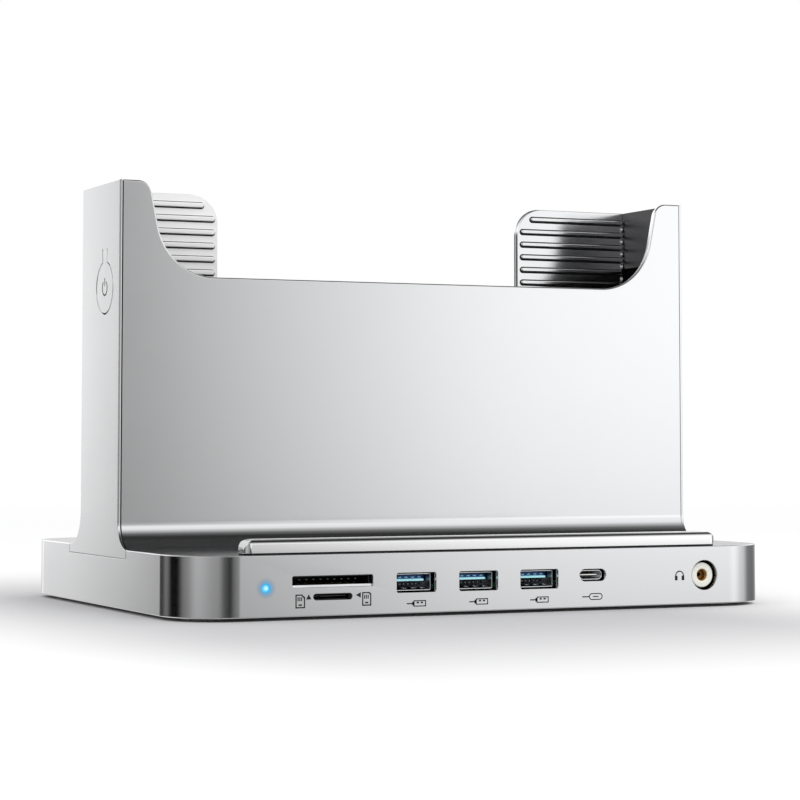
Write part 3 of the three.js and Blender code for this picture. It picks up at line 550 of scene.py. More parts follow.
cover_inside = front_high.x
front_face = front_high.y - SHEET
back_face = back_low.y + SHEET
front_sheet = bent_sheet(
    "front_sheet", bent_section(front_face, -1, FRONT_BEND, 0), front_outline(deck - SHEET_TUCK, half_base)
)
done(front_sheet, silver, stands_for=["front_plate"])
toe = back_high.y - back_face - BACK_BEND
back_sheet = bent_sheet(
    "back_sheet", bent_section(back_face, 1, BACK_BEND, toe), back_outline(deck - SHEET_TUCK, half_base)
)
done(back_sheet, silver, stands_for=["back_plate"])

# ---------------------------------------------------------------------------------------------
# End covers. Aluminium plates with the cradle's whole side profile, bonded over its ends. Their
# feet drop into the recess of the base and finish flush with its sides.

side_profile = outline(
    (foot_low.y, foot_low.z), (foot_high.y, foot_low.z), (foot_high.y, deck), (back_face, deck, BACK_BEND),
    (back_face, top),
    (front_face, top), (front_face, deck, FRONT_BEND), (foot_low.y, deck),
)
COVER_EDGE = 0.2
BUTTON_GAP = 0.58
ARM = 4.6
SLIT = 0.3
SLIT_END = 0.45
button_low, button_high = span("power_button")
button_y = (button_low.y + button_high.y) / 2
button_radius = (button_high.y - button_low.y) / 2
button_z = button_low.z + button_radius
arm_top = button_high.z


def paddle(name, gap, slit, x0, x1, reach):
    """The button's disc with its arm, grown by a gap."""
    radius, half = button_radius + gap, ARM / 2 + slit
    first = 90 + math.degrees(math.asin(half / radius))
    arc = [math.radians(first + (360 - 2 * (first - 90)) * k / 96) for k in range(97)]
    rim = [Vector((button_y + radius * math.cos(t), button_z + radius * math.sin(t))) for t in arc]
    return prism(
        name, [*rim, Vector((button_y + half, reach)), Vector((button_y - half, reach))], "X", x0, x1
    )


left = prism("left_cover", side_profile, "X", foot_low.x, foot_high.x)
keyhole = paddle("keyhole", BUTTON_GAP, SLIT, foot_low.x - MARGIN, foot_high.x + MARGIN, arm_top + 0.02)
for side in (-1, 1):
    y = button_y + side * (ARM + SLIT) / 2
    carve(
        keyhole,
        prism("relief", disc(y, arm_top, SLIT_END, 24), "X", foot_low.x - MARGIN, foot_high.x + MARGIN),
        operation="UNION"
    )
carve(ease(left, COVER_EDGE, 3), keyhole)
done(left, silver, stands_for=["left_end_cover"])
right_low, right_high = span("right_end_cover")
right_cover = ease(prism("right_cover", side_profile, "X", right_low.x, right_high.x), COVER_EDGE, 3)
done(right_cover, silver, stands_for=["right_end_cover"])

# ---------------------------------------------------------------------------------------------
# Power button. The disc and arm left standing between the slits of the left cover, with a pip
# behind that meets the switch. The power sign is printed on it.

PIP = 1.2
plate_thickness = foot_high.x - foot_low.x
button = paddle("button_paddle", 0, 0, button_low.x + SKIN, button_low.x + plate_thickness, arm_top + MARGIN)
carve(
    button,
    prism("pip", disc(button_y, button_z, PIP, 32), "X", button_low.x + plate_thickness / 2, button_high.x),
    operation="UNION"
)
ease(button, 0.16, 3)
root = oblong(button_y - ARM, button_y + ARM, arm_top, arm_top + 2 * MARGIN)
carve(button, prism("root", root, "X", button_low.x - MARGIN, button_high.x + MARGIN))
done(button, silver, body="power_button", stands_for=["power_button"])


def printed(name, tint):
    """Screen-printed ink: matt, very slightly uneven."""
    finish = bpy.data.materials.new(name)
    board = Board(finish)
    place = object_space(board)
    mottle = noise(board, place, 0.25)
    tone = board.blend(mottle, (*[c * 0.8 for c in tint], 1), (*[c * 1.2 for c in tint], 1))
    principled(board, {"Base Color": tone, "Roughness": mottle * 0.1 + 0.75})
    return finish


ink = printed("grey_ink", (0.014, 0.0145, 0.016))


def band(a, b, radius, width, start, stop, steps=40):
    """A bent strip: part of a ring, between two angles in degrees from the +a axis."""
    angles = [math.radians(start + (stop - start) * k / steps) for k in range(steps + 1)]
    outer, inner = radius + width / 2, radius - width / 2
    return [Vector((a + outer * math.cos(t), b + outer * math.sin(t))) for t in angles] + [
        Vector((a + inner * math.cos(t), b + inner * math.sin(t))) for t in reversed(angles)
    ]


def mark(name, parts, axis, face, body):
    """Printed marks on one face, each a thin film of ink, joined into one piece."""
    films = [prism(f"{name}_{k}", points, axis, face, face + SKIN) for k, points in enumerate(parts)]
    whole = films[0]
    for film in films[1:]:
        merged = bmesh.new()
        merged.from_mesh(whole.data)
        merged.from_mesh(film.data)
        merged.to_mesh(whole.data)
        merged.free()
        bpy.data.objects.remove(film)
    whole.name = name
    whole.data.materials.append(ink)
    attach(whole, body)
    return whole


mark(
    "power_sign",
    [
        band(button_y, button_z, 2.6, 0.55, 130, 410),
        oblong(button_y - 0.27, button_y + 0.27, button_z + 0.6, button_z + 3.5, 0.2)
    ],
    "X", button_low.x, "power_button",
)

# ---------------------------------------------------------------------------------------------
# Joint shade. A thin black strip in the joint between each sheet and the left end cover, the painted shadow
# of the gap there, set back a little from the sheets' outer faces.


def moulded(name, tint, roughness, grain=0.3, depth=0.02, metallic=0.0, painted_glow=0.0):
    """Moulded plastic, rubber or a drawn metal: one colour, with the fine texture of its mould."""
    finish = bpy.data.materials.new(name)
    board = Board(finish)
    place = object_space(board)
    texture = noise(board, place, grain)
    cloud = noise(board, place, 9.0)
    tone = board.blend(cloud, (*[c * 0.85 for c in tint], 1), (*[min(1, c * 1.15) for c in tint], 1))
    bump = board.add("ShaderNodeBump", {}, {"Strength": 0.25, "Distance": depth * MM, "Height": texture})
    rough = texture * 0.12 + (roughness - 0.06)
    # Where painted_glow is set, the piece gives off a little light of its own colour: a painted highlight,
    # not a lamp.
    glow = board.blend(
        cloud, (*[c * painted_glow * 0.9 for c in tint], 1), (*[c * painted_glow for c in tint], 1)
    ) if painted_glow else None
    principled(board, {"Base Color": tone, "Metallic": metallic, "Roughness": rough, "Normal": bump}, glow)
    return finish


def sits(piece, body="dock"):
    """A piece that is added to the frame's own ones: it only rides along."""
    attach(piece, body)
    return piece


joint_shade = moulded("joint_painted_shade", (0.006, 0.006, 0.006), 0.6, 0.3)
for word, *bent in (("front", front_face, -1, FRONT_BEND, 0), ("back", back_face, 1, BACK_BEND, toe)):
    seam = prism(f"{word}_seam", bent_section(*bent, SEAM_DEPTH), "X", -cover_inside, SEAM - cover_inside)
    seam.data.materials.append(joint_shade)
    sits(seam)

# ---------------------------------------------------------------------------------------------
# Pocket liner. Moulded walls that stand inside the sheets and guard the laptop: satin silver paint, with
# painted light that turns the back wall white towards the left, and end walls painted dark grey for shade and
# black low down for a painted shadow. Rounded ribs run along the front and back walls, each of the back ones
# with a black strip round it, its painted shadow.


def painted(name, tint, roughness, painted_light_to=None, shadow_below=None):
    """Satin metallic paint with very fine flake; painted light up to one x, and painted shadow below one z.
    """
    finish = bpy.data.materials.new(name)
    board = Board(finish)
    place = object_space(board)
    flake = noise(board, place, 0.12, 1.0)
    cloud = noise(board, place, 30.0)
    tone = board.blend(flake, (*[c * 0.93 for c in tint], 1), (*[min(1, c * 1.05) for c in tint], 1))
    bump = board.add("ShaderNodeBump", {}, {"Strength": 0.08, "Distance": 0.00001, "Height": flake})
    rough, metal = cloud * 0.06 + (roughness - 0.03), 1.0
    # Painted light: towards the left the paint turns white, less metallic and rougher, standing in for a
    # bright reflection.
    if painted_light_to is not None:
        across = board.split(place)[0]
        painted_light = board.add(
            "ShaderNodeMapRange", {"interpolation_type": "SMOOTHSTEP"},
            [across, *[x * MM for x in painted_light_to], 1.0, 0.0]
        )
        tone = board.blend(painted_light, tone, (0.93, 0.93, 0.93, 1))
        metal = 1 - painted_light * 0.9
        rough = rough + painted_light * 0.15
    # Painted shadow: below one height the paint turns black and matt.
    if shadow_below is not None:
        painted_shadow = board.split(place)[2] < shadow_below * MM
        tone = board.blend(painted_shadow, tone, (0.004, 0.004, 0.004, 1))
        rough = rough + painted_shadow * 0.4
    principled(board, {"Base Color": tone, "Metallic": metal, "Roughness": rough, "Normal": bump})
    return finish


def row_tree():
    """Repeats one piece in a straight row: how many, how far apart, and what it is made of."""
    tree = bpy.data.node_groups.new("row", "GeometryNodeTree")
    for label, kind in (
        ("Piece", "NodeSocketObject"), ("Count", "NodeSocketInt"), ("Step", "NodeSocketVector"),
        ("Finish", "NodeSocketMaterial")
    ):
        tree.interface.new_socket(label, in_out="INPUT", socket_type=kind)
    tree.interface.new_socket("Geometry", in_out="OUTPUT", socket_type="NodeSocketGeometry")
    given, made = tree.nodes.new("NodeGroupInput"), tree.nodes.new("NodeGroupOutput")
    line, piece, copies, real, dress = (
        tree.nodes.new(kind) for kind in (
            "GeometryNodeMeshLine", "GeometryNodeObjectInfo", "GeometryNodeInstanceOnPoints",
            "GeometryNodeRealizeInstances", "GeometryNodeSetMaterial",
        )
    )
    line.mode = "OFFSET"
    join = tree.links.new
    join(given.outputs["Count"], line.inputs["Count"])
    join(given.outputs["Step"], line.inputs["Offset"])
    join(given.outputs["Piece"], piece.inputs["Object"])
    join(line.outputs["Mesh"], copies.inputs["Points"])
    join(piece.outputs["Geometry"], copies.inputs["Instance"])
    join(copies.outputs["Instances"], real.inputs["Geometry"])
    join(real.outputs["Geometry"], dress.inputs["Geometry"])
    join(given.outputs["Finish"], dress.inputs["Material"])
    join(dress.outputs["Geometry"], made.inputs["Geometry"])
    return tree


ROW = row_tree()


def row(name, piece, count, step, finish):
    """A row of copies of a piece, as one plain mesh; the first copy lies where the piece is."""
    smooth(piece)
    holder = bpy.data.objects.new(name, bpy.data.meshes.new(name))
    scene.collection.objects.link(holder)
    repeat = holder.modifiers.new("row", "NODES")
    repeat.node_group = ROW
    values = {"Piece": piece, "Count": count, "Step": Vector(step) * MM, "Finish": finish}
    for item in ROW.interface.items_tree:
        if item.in_out == "INPUT":
            repeat[item.identifier] = values[item.name]
    settle(holder)
    bpy.data.objects.remove(piece)
    return holder


satin = painted("satin_silver_paint", (0.80, 0.805, 0.815), 0.2)
# The back wall and its ribs turn white towards the left: painted light.
back_satin = painted("back_wall_paint", (0.80, 0.805, 0.815), 0.16, painted_light_to=(-60, 60))
LINER_INSET = 0.3
RIB = 1.7
RIB_PROUD = 1.0
RIB_PITCH = 4.93
RIB_DROP = 4.1
BACK_RIBS = 9
liner_low, liner_high = span("back_liner")
wall_face = liner_low.y + RIB_PROUD
pocket_left = span("left_liner")[1].x
pocket_right = span("right_liner")[0].x
liner_end = liner_high.x

back_liner = prism(
    "back_liner_wall", back_outline(liner_low.z, liner_end, LINER_INSET), "Y", wall_face, liner_high.y
)
ease(back_liner, 0.15, 2)
done(back_liner, back_satin, stands_for=["back_liner"])
front_liner_low, front_liner_high = span("front_liner")
front_wall_face = front_liner_high.y - RIB_PROUD
front_liner = prism(
    "front_liner_wall", front_outline(front_liner_low.z, liner_end, LINER_INSET), "Y", front_liner_low.y,
    front_wall_face
)
ease(front_liner, 0.15, 2)
done(front_liner, satin, stands_for=["front_liner"])


def rib(name, x0, x1, z, wall, out):
    """One raised bar with round ends and a round back."""
    bar = prism(
        name, oblong(x0, x1, z - RIB / 2, z + RIB / 2, RIB / 2 - 0.02), "Y",
        *sorted((wall - out * 0.1, wall + out * RIB_PROUD))
    )
    return ease(bar, 0.42, 4, 60)


def shadow_gap(x0, x1, z, wall, out):
    """A black strip round a rib, widest along its underside: the rib's painted shadow."""
    low_z, high_z = z - RIB / 2 - SHADOW_BELOW, z + RIB / 2 + SHADOW_ABOVE
    shape = oblong(x0 - SHADOW_ABOVE, x1 + SHADOW_ABOVE, low_z, high_z, (high_z - low_z) / 2 - 0.02)
    return prism("shadow_gap", shape, "Y", *sorted((wall + out * 0.01, wall + out * 0.1)))


RIB_INSET = 1.6
TOP_RIB_INSET = 4.3  # how much further in the top rib starts, clear of the tab's round corner
# The gap round each rib is a black strip, the rib's painted shadow.
RIB_SHORT = 0.2  # how far a rib, and the gap round it, stop short of the pocket's end
SHADOW_SHORT = 0.5
SHADOW_BELOW = 0.55
SHADOW_ABOVE = 0.28
FRONT_RIB_DROP = 4.6
FRONT_RIBS = 4
# Black strips round the back ribs: their painted shadow.
shade = moulded("rib_painted_shadow", (0.004, 0.004, 0.004), 0.7, 0.3)
first_rib = top - RIB_DROP
low_edge = half_base - TAB + RIB_INSET
top_edge = half_base - TAB + TOP_RIB_INSET + RIB_INSET
down = (0, 0, -RIB_PITCH)
for side, outer_end, word in ((-1, -pocket_left, "left"), (1, pocket_right, "right")):
    for label, inner_end, z, count in (
        ("top", top_edge, first_rib, 1), ("lower", low_edge, first_rib - RIB_PITCH, BACK_RIBS - 1),
    ):
        bar = rib("rib", *sorted((side * inner_end, side * (outer_end - RIB_SHORT))), z, wall_face, -1)
        sits(row(f"{word}_{label}_ribs", bar, count, down, back_satin))
        gap = shadow_gap(*sorted((side * inner_end, side * (outer_end - SHADOW_SHORT))), z, wall_face, -1)
        sits(row(f"{word}_{label}_rib_gaps", gap, count, down, shade))
front_bar = rib(
    "rib", pocket_left + RIB_SHORT, pocket_right - RIB_SHORT, FRONT_LOW - FRONT_RIB_DROP, front_wall_face, 1
)
sits(row("front_ribs", front_bar, FRONT_RIBS, down, satin))


def recoat(node, finish):
    """Gives a piece of the frame that keeps its shape a better material."""
    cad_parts[node].data.materials.clear()
    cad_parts[node].data.materials.append(finish)


# End walls painted dark grey for the shade in the pocket's ends, and black below this height for a painted
# shadow.
PAINTED_SHADOW_TOP = 126.5
shaded = painted("end_wall_painted_shade", (0.17, 0.17, 0.175), 0.34, shadow_below=PAINTED_SHADOW_TOP)
for node, finish in (("left_liner", shaded), ("right_liner", shaded), ("pocket_floor", satin)):
    recoat(node, finish)
BEAD = 0.4
BEAD_SET = 0.45
BEAD_LENGTH = 2.2
BEAD_DROP = 0.7
bead_top = first_rib - RIB / 2 - BEAD_DROP
bead_outline = disc(pocket_right - BEAD_SET, wall_face - BEAD_SET, BEAD, 24)
bead = prism("bead", bead_outline, "Z", bead_top - BEAD_LENGTH, bead_top)
sits(row("corner_bead", bead, BACK_RIBS - 2, down, satin))

# ---------------------------------------------------------------------------------------------
# Stop rail. A drawn aluminium bar with rounded ends, bonded along the front of the deck; its face
# is polished brighter than the rest.

RAIL_ROUND = 2.6
RAIL_END_ROUND = 4.2
bright = blasted("bright_silver", (0.9, 0.9, 0.905), 0.14)
rail_low, rail_high = span("front_rail")
RAIL_TOP_ROUND = 1.75
# The rail stands this high on a black strip: the painted shadow line under it.
SHADOW_LINE_HEIGHT = 0.45
rail_bottom = deck + SHADOW_LINE_HEIGHT
face = outline(
    (rail_low.x - SKIN, deck - MARGIN), (rail_high.x + SKIN, deck - MARGIN),
    (rail_high.x + SKIN, rail_high.z, RAIL_END_ROUND),
    (rail_low.x - SKIN, rail_high.z, RAIL_END_ROUND),
)
section = outline(
    (rail_low.y, rail_bottom), (rail_high.y, rail_bottom), (rail_high.y, rail_high.z, RAIL_TOP_ROUND),
    (rail_low.y, rail_high.z, RAIL_TOP_ROUND),
)
rail = prism("rail", section, "X", rail_low.x - MARGIN, rail_high.x + MARGIN)
carve(rail, prism("face", face, "Y", rail_low.y - MARGIN, rail_high.y + MARGIN), operation="INTERSECT")
plan = oblong(rail_low.x, rail_high.x, rail_low.y, rail_high.y, RAIL_ROUND)
carve(rail, prism("plan", plan, "Z", rail_bottom - 1, rail_high.z + 1), operation="INTERSECT")
ease(rail, 0.15, 3, 40)
done(rail, bright, stands_for=["front_rail"])

# ---------------------------------------------------------------------------------------------
# Front and rear sockets. Each is a drawn steel shell, coloured dark grey as painted shade of its inside, with
# a bright rim and a moulded tongue that carries gold-plated contacts; the card slots and the network socket
# are moulded cases.

# Steel coloured dark grey for the shells and card springs: painted shade of the deep sockets' insides.
steel = moulded("socket_steel_painted_shade", (0.26, 0.265, 0.28), 0.28, 0.5, 0.01, 1.0)
rim_steel = moulded("bright_steel", (0.86, 0.87, 0.88), 0.2, 0.4, 0.005, 1.0)
gold = moulded("contact_gold", (0.86, 0.62, 0.26), 0.25, 0.2, 0.005, 1.0)
black = moulded("black_plastic", (0.008, 0.008, 0.009), 0.38)
blue = moulded("blue_plastic", (0.012, 0.075, 0.30), 0.32)
pale_blue = moulded("pale_blue_contact", (0.42, 0.78, 0.95), 0.25)
# A pale cyan strip that glows a little: a painted highlight along the wide tongues' lower edge.
painted_highlight_edge = moulded("tongue_edge_painted_highlight", (0.45, 0.86, 0.95), 0.2, painted_glow=0.45)
RIM_DEPTH = 0.3
SHELL_WALL = 0.3
SHELL_BACK = 1.0
WIDE_ROUND = 0.5
WIDE_TONGUE = (11.1, 1.84)  # width and thickness
WIDE_TONGUE_LENGTH = 9.2
WIDE_TONGUE_DEPTH = 3.75  # from the socket's mouth
WIDE_TONGUE_UP = 1.2
OVAL_ROUND = 1.6
OVAL_TONGUE = (6.7, 0.7)
OVAL_TONGUE_LENGTH = 5.4
OVAL_TONGUE_DEPTH = 1.55


def tube(name, a, b, wall, round_, y0, y1):
    """A hollow bar along Y: its outside from corner a to corner b, with walls of one thickness."""
    outside = prism(name, oblong(a.x, b.x, a.z, b.z, round_), "Y", y0, y1)
    inside = oblong(a.x + wall, b.x - wall, a.z + wall, b.z - wall, max(round_ - wall, 0.15))
    return carve(outside, prism("bore", inside, "Y", y0 - MARGIN, y1 + MARGIN))


def shell_and_rim(node, name, wall, round_):
    """The drawn shell of a socket, closed at the back, and the bright lip round its mouth."""
    a, b = span(node)
    out = -1 if a.y < 0 else 1
    mouth, back = (a.y, b.y) if out < 0 else (b.y, a.y)
    start = mouth - out * RIM_DEPTH
    body = prism(f"{name}_case", oblong(a.x, b.x, a.z, b.z, round_), "Y", *sorted((start, back)))
    inside = oblong(a.x + wall, b.x - wall, a.z + wall, b.z - wall, max(round_ - wall, 0.15))
    carve(body, prism("bore", inside, "Y", *sorted((mouth + out * MARGIN, back + out * SHELL_BACK))))
    done(body, steel, stands_for=[node])
    lip = tube(f"{name}_rim", a, b, wall, round_, *sorted((mouth, start)))
    ease(lip, 0.07, 2)
    dressed(lip, rim_steel)
    return a, b, mouth, out


def dressed(piece, finish):
    """A small added piece, smoothed and given its material."""
    smooth(piece)
    piece.data.materials.append(finish)
    return sits(piece)


def tongue(name, x, z, width, thickness, y0, y1, plastic, slot, node=None):
    leaf = prism(
        f"{name}_leaf", oblong(x - width / 2, x + width / 2, z - thickness / 2, z + thickness / 2, 0.25), "Y",
        *sorted((y0, y1))
    )
    ease(leaf, 0.1, 2)
    if node:
        return done(leaf, plastic, stands_for=[node])
    return dressed(leaf, plastic)


def contacts(name, x, z, pitch, count, width, height, y0, y1, finish):
    """A row of small bars across a socket, centred on x."""
    first = x - pitch * (count - 1) / 2
    bar = prism(
        "contact",
        oblong(
            first - width / 2, first + width / 2, z - height / 2, z + height / 2, min(width, height) * 0.3
        ),
        "Y", *sorted((y0, y1))
    )
    return sits(row(name, bar, count, (pitch, 0, 0), finish))


def type_a(node, name, leaf_node=None):
    """The wide socket: a blue tongue in the upper half over two spring fingers in the floor."""
    a, b, mouth, out = shell_and_rim(node, name, SHELL_WALL, WIDE_ROUND)
    x, z = (a.x + b.x) / 2, (a.z + b.z) / 2
    leaf_z = z + WIDE_TONGUE_UP
    nose = mouth - out * WIDE_TONGUE_DEPTH
    tongue(
        name, x, leaf_z, *WIDE_TONGUE, nose, nose - out * WIDE_TONGUE_LENGTH, blue, "blue_plastic", leaf_node
    )
    contacts(f"{name}_contacts", x, leaf_z + 0.3, 2.45, 4, 0.9, 0.4, nose, nose + out * 1.2, pale_blue)
    # Along the tongue's lower edge, a pale glowing strip: a painted highlight.
    contacts(
        f"{name}_nose", x - 0.3, leaf_z - 0.62, 1.0, 1, 10.3, 0.66, nose - out * 0.2, nose + out * 1.7,
        painted_highlight_edge
    )
    contacts(
        f"{name}_springs", x + 1.2, a.z + 0.75, 3.4, 3, 1.3, 0.42, mouth - out * 1.6, mouth - out * 5.0,
        rim_steel
    )
    contacts(
        f"{name}_fingers", x + 1.0, a.z + 1.75, 1.5, 6, 0.35, 0.8, mouth - out * 7.5, mouth - out * 8.5,
        rim_steel
    )


def type_c(node, name, leaf_node=None):
    """The oval socket: a thin black tongue in its middle with a row of contacts on both sides."""
    a, b, mouth, out = shell_and_rim(node, name, SHELL_WALL, OVAL_ROUND)
    x, z = (a.x + b.x) / 2, (a.z + b.z) / 2
    nose = mouth - out * OVAL_TONGUE_DEPTH
    tongue(name, x, z, *OVAL_TONGUE, nose, nose - out * OVAL_TONGUE_LENGTH, black, "black_plastic", leaf_node)
    for side in (-1, 1):
        contacts(
            f"{name}_contacts_{'low' if side < 0 else 'high'}", x, z + side * 0.36, 0.5, 12, 0.26, 0.1,
            nose - out * 0.2, nose - out * 4, gold
        )
    contacts(f"{name}_nose", x, z, 1.0, 1, 6.5, 0.3, nose, nose + out * 0.08, rim_steel)


for name in TYPE_A_FRONT:
    type_a(f"{name}_shell", name, f"{name}_tongue")
for node in TYPE_A_REAR:
    type_a(node, node)
type_c("type_c_front_shell", "type_c_front", "type_c_front_tongue")
for node in ("host_type_c", "power_type_c"):
    type_c(node, node)


def case(node, *bores, round_=0.3):
    """A moulded case with tunnels, each one (x, z, width, height, depth) from its mouth."""
    a, b = span(node)
    out = -1 if a.y < 0 else 1
    mouth = a.y if out < 0 else b.y
    body = prism(f"{node}_case", oblong(a.x, b.x, a.z, b.z, round_), "Y", a.y, b.y)
    for x, z, width, height, depth in bores:
        hole = oblong(x - width / 2, x + width / 2, z - height / 2, z + height / 2, 0.2)
        carve(body, prism("bore", hole, "Y", *sorted((mouth + out * MARGIN, mouth - out * depth))))
    ease(body, 0.06, 2)
    return done(body, black, stands_for=[node])


card_low, card_high = span("large_card_slot")
card_x, card_z = (card_low.x + card_high.x) / 2, (card_low.z + card_high.z) / 2
case("large_card_slot", (card_x, card_z + 0.15, 27.2, 2.7, 25))
contacts(
    "large_card_contacts", card_x - 0.6, card_z - 0.7, 2.5, 9, 1.1, 0.3, card_low.y + 2.5, card_low.y + 9,
    gold
)
contacts(
    "large_card_springs", card_x - 0.6, card_z + 0.55, 2.5, 9, 0.7, 0.5, card_low.y + 1.0, card_low.y + 1.6,
    steel
)
lip_white = moulded("slot_lip", (0.82, 0.83, 0.84), 0.3)
contacts(
    "large_card_lip", card_x, card_z - 1.5, 1.0, 1, 28.2, 0.75, card_low.y - 0.1, card_low.y - 1.5, lip_white
)
small_low, small_high = span("small_card_slot")
small_x, small_z = (small_low.x + small_high.x) / 2, (small_low.z + small_high.z) / 2
case("small_card_slot", (small_x, small_z, 13.2, 1.5, 14))
contacts(
    "small_card_contacts", small_x, small_z + 0.15, 0.72, 16, 0.3, 0.2, small_low.y + 0.6, small_low.y + 1.2,
    rim_steel
)

video_low, video_high = span("video_socket")
shell_and_rim("video_socket", "video", 0.35, 1.0)
video_x, video_z = (video_low.x + video_high.x) / 2, (video_low.z + video_high.z) / 2
tongue("video", video_x, video_z + 0.3, 12, 1.7, video_high.y - 3, video_high.y - 11, black, "black_plastic")
contacts(
    "video_contacts", video_x, video_z - 0.6, 0.98, 10, 0.4, 0.12, video_high.y - 3.2, video_high.y - 9, gold
)
jack_low, jack_high = span("network_jack")
jack_x, jack_z = (jack_low.x + jack_high.x) / 2, (jack_low.z + jack_high.z) / 2
case("network_jack", (jack_x, jack_z, 11.8, 7, 11), (jack_x, jack_z, 6, 11.4, 11))
contacts(
    "network_contacts", jack_x, jack_z + 2.6, 1.02, 8, 0.4, 0.5, jack_high.y - 2.5, jack_high.y - 9, gold
)
jack_rim = tube("network_rim", jack_low, jack_high, 0.35, 0.3, jack_high.y - 0.4, jack_high.y)
dressed(jack_rim, rim_steel)

# ---------------------------------------------------------------------------------------------
# Headphone socket and status light. An ivory moulded ring with a brass-lined bore in a round hole,
# and a clear pipe that carries a blue light to the wall.

ivory = moulded("ivory_plastic", (0.90, 0.88, 0.80), 0.22, 0.2, 0.004)
brass = moulded("brass_bore", (0.36, 0.17, 0.035), 0.4, 0.25, 0.02, 0.6)
MOUTH = 2.1
RING = 4.4
ring = prism("audio_ring", disc(ring_middle.x, ring_middle.z, RING, 96), "Y", ring_low.y, ring_high.y)
carve(
    ring, prism("mouth", disc(ring_middle.x, ring_middle.z, MOUTH, 96), "Y", ring_low.y - 1, ring_high.y + 1)
)
ease(ring, 0.45, 4)
done(ring, ivory, stands_for=["audio_jack_ring"])
lining = prism(
    "audio_lining", disc(ring_middle.x, ring_middle.z, MOUTH - 0.02, 96), "Y", ring_low.y + 0.5, ring_high.y
)
carve(
    lining,
    prism("bore", disc(ring_middle.x, ring_middle.z, MOUTH - 0.25, 96), "Y", ring_low.y - 1, ring_high.y + 1)
)
dressed(lining, brass)
bore_back = prism(
    "audio_bore_back", disc(ring_middle.x, ring_middle.z, MOUTH - 0.3, 64), "Y", ring_high.y - 0.9,
    ring_high.y - 0.1
)
carve(bore_back, prism("bore", disc(ring_middle.x, ring_middle.z, 0.8, 48), "Y", ring_low.y, ring_high.y + 1))
dressed(bore_back, brass)

lens = bpy.data.materials.new("light_lens")
board = Board(lens)
away = board.add(
    "ShaderNodeVectorMath", {"operation": "DISTANCE"},
    [object_space(board), (lens_middle.x * MM, lens_low.y * MM, lens_middle.z * MM)], output=1
)
core = board.add("ShaderNodeMapRange", {"interpolation_type": "SMOOTHSTEP"}, [away, 0.0, 0.0012, 1.0, 0.0])
principled(
    board, {"Base Color": (0.02, 0.05, 0.08, 1), "Roughness": 0.25},
    board.blend(core, (0.06, 0.58, 0.92, 1), (0.62, 1.0, 1.0, 1))
)
pipe = prism("light_pipe", disc(lens_middle.x, lens_middle.z, 1.1, 48), "Y", lens_low.y + 0.05, lens_high.y)
ease(pipe, 0.25, 4)
done(pipe, lens, stands_for=["status_light_pipe"])

# ---------------------------------------------------------------------------------------------
# Printed signs. Small dark pictograms beside the sockets: two card shapes with arrows, a plug under
# each wide and oval socket, and a pair of headphones.

front = low.y


def frame_of(a0, a1, b0, b1, line, corner=0.0):
    """A thin outline as four bars, with one corner cut off on the slant where corner isn't 0."""
    bars = [
        oblong(a0, a0 + line, b0, b1), oblong(a1 - line, a1, b0, b1 - corner), oblong(a0, a1, b0, b0 + line),
        oblong(a0, a1 - corner, b1 - line, b1),
    ]
    if corner:
        slant = (
            (a1 - corner - line, b1), (a1 - corner - line, b1 - line), (a1 - line, b1 - corner - line),
            (a1, b1 - corner),
        )
        bars.append([Vector(p) for p in slant])
    return bars


def bars_across(a0, a1, b0, b1, count):
    """Upright strokes side by side."""
    step = (a1 - a0) / count
    return [oblong(a0 + step * (k + 0.22), a0 + step * (k + 0.78), b0, b1) for k in range(count)]


signs = (
    frame_of(-73.4, -70.0, 3.9, 8.4, 0.42, 0.9) + bars_across(-72.8, -70.9, 6.2, 7.5, 3)
    + bars_across(-72.8, -70.6, 4.7, 5.2, 1)
)
signs += (
    frame_of(-49.6, -46.3, 4.1, 8.6, 0.42, 0.5) + bars_across(-49.0, -47.1, 6.4, 7.7, 3)
    + bars_across(-49.0, -46.9, 4.9, 5.4, 1)
)
signs.append([Vector(p) for p in ((-69.6, 6.7), (-67.8, 6.7), (-68.7, 8.4))])
signs.append([Vector(p) for p in ((-50.1, 6.8), (-50.1, 8.6), (-51.9, 7.7))])
mark("card_signs", signs, "Y", front, "dock")
for name in TYPE_A_FRONT:
    a, b = span(f"{name}_shell")
    x = (a.x + b.x) / 2 + 0.3
    plugs = frame_of(x - 1.4, x + 3.2, 3.3, 5.4, 0.34) + bars_across(x - 0.6, x + 2.4, 4.35, 4.9, 2)
    plugs += [oblong(x - 3.9, x - 1.3, 4.15, 4.55), oblong(x - 1.9, x - 1.2, 3.7, 5.0)]
    mark(f"{name}_sign", plugs, "Y", front, "dock")
a, b = span("type_c_front_shell")
x = (a.x + b.x) / 2
oval = [
    band(x + 2.6, 4.85, 1.0, 0.34, -90, 90), band(x - 0.4, 4.85, 1.0, 0.34, 90, 270),
    oblong(x - 0.4, x + 2.6, 5.68, 6.02), oblong(x - 0.4, x + 2.6, 3.68, 4.02)
]
mark(
    "type_c_sign", oval + [oblong(x, x + 2.2, 4.68, 5.02), oblong(x - 4.2, x - 1.5, 4.65, 5.05)], "Y", front,
    "dock"
)
phones = [band(72.3, 11.2, 1.55, 0.4, 0, 180), oblong(70.4, 71.45, 9.6, 11.2), oblong(73.15, 74.2, 9.6, 11.2)]
mark("headphone_sign", phones, "Y", front, "dock")
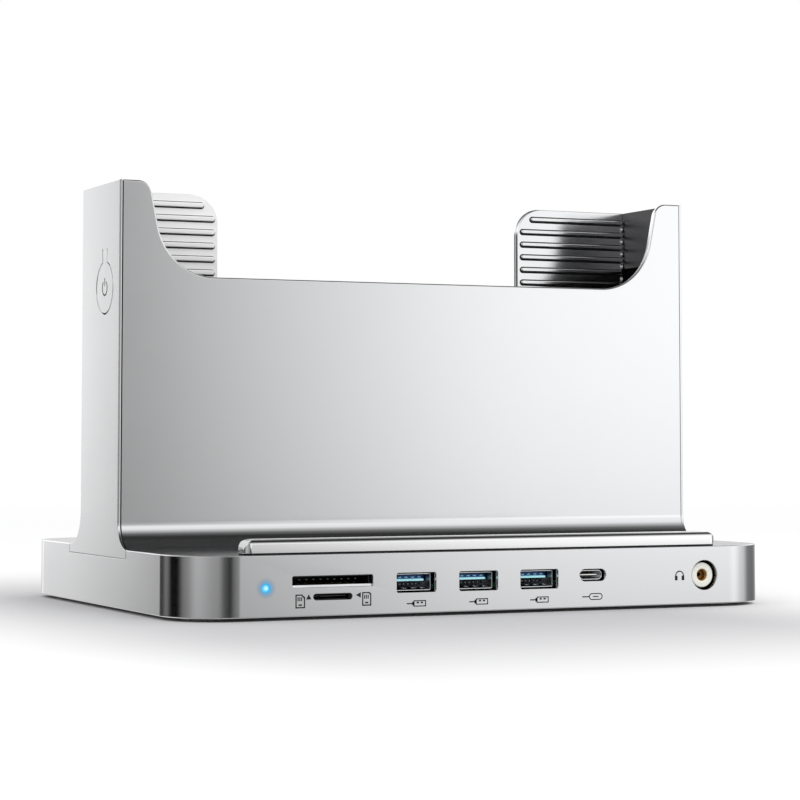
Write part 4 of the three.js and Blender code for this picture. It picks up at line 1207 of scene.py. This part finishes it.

# ---------------------------------------------------------------------------------------------
# Feet, bottom cover, screws and what is inside. Pale rubber feet in recesses, a moulded cover with vent
# slots, a green board, and the parts on it; most of it is only seen from below or by the sockets.

# Black rubber for the pocket pad, also used for the painted shadow line under the rail.
rubber = moulded("rubber", (0.012, 0.012, 0.0125), 0.75, 0.15, 0.06)
pale_rubber = moulded("pale_rubber", (0.6, 0.6, 0.61), 0.6, 0.15, 0.04)
# A black strip under the rail: the painted shadow line between rail and deck.
rail_shadow = prism(
    "rail_bond",
    oblong(rail_low.x + 0.15, rail_high.x - 0.15, rail_low.y + 0.1, rail_high.y - 0.1, RAIL_ROUND), "Z",
    deck - SKIN, rail_bottom
)
dressed(rail_shadow, rubber)
cover_plastic = moulded("cover_plastic", (0.018, 0.018, 0.019), 0.55, 0.25, 0.03)
copper_green = bpy.data.materials.new("board_mask")
board = Board(copper_green)
tracks = board.add(
    "ShaderNodeTexVoronoi", {"feature": "DISTANCE_TO_EDGE"}, {"Vector": object_space(board), "Scale": 600.0}
)
principled(
    board,
    {
        "Base Color": board.blend(tracks < 0.05, (0.004, 0.03, 0.014, 1), (0.02, 0.09, 0.04, 1)),
        "Roughness": tracks * 0.3 + 0.3
    }
)
film = moulded("cable_film", (0.30, 0.12, 0.02), 0.4)
cast = moulded("cast_metal", (0.42, 0.425, 0.43), 0.45, 0.35, 0.05, 1.0)
screw_metal = moulded("screw_steel", (0.5, 0.5, 0.51), 0.3, 0.2, 0.01, 1.0)
ENDS = [f"{end}_{side}" for end in ("front", "rear") for side in ("left", "right")]
for corner in ENDS:
    foot_a, foot_b = span(f"{corner}_foot")
    foot = prism(
        f"{corner}_rubber_foot",
        disc((foot_a.x + foot_b.x) / 2, (foot_a.y + foot_b.y) / 2, (foot_b.x - foot_a.x) / 2, 96), "Z",
        foot_a.z, foot_b.z
    )
    done(ease(foot, 0.3, 4), pale_rubber, stands_for=[f"{corner}_foot"])
pad_low, pad_high = span("floor_pad")
pad = prism("pocket_pad", oblong(pad_low.x, pad_high.x, pad_low.y, pad_high.y, 2), "Z", pad_low.z, pad_high.z)
done(ease(pad, 0.4, 4), rubber, stands_for=["floor_pad"])
FINISHES = {
    copper_green: ["main_board", "switch_board"],
    cover_plastic: ["bottom_cover"],
    black: ["audio_jack_body", "hub_chip", "video_chip", "switch_plunger"],
    cast: ["cradle_chassis", "heat_spreader"],
    ivory: ["status_light_chip"],
    film: ["button_flex_cable"],
    screw_metal: ["switch_body"] + [
        f"{corner}_{use}_screw" for corner in ENDS for use in ("cover", "board", "cradle")
    ],
}
for finish, nodes in FINISHES.items():
    for node in nodes:
        recoat(node, finish)
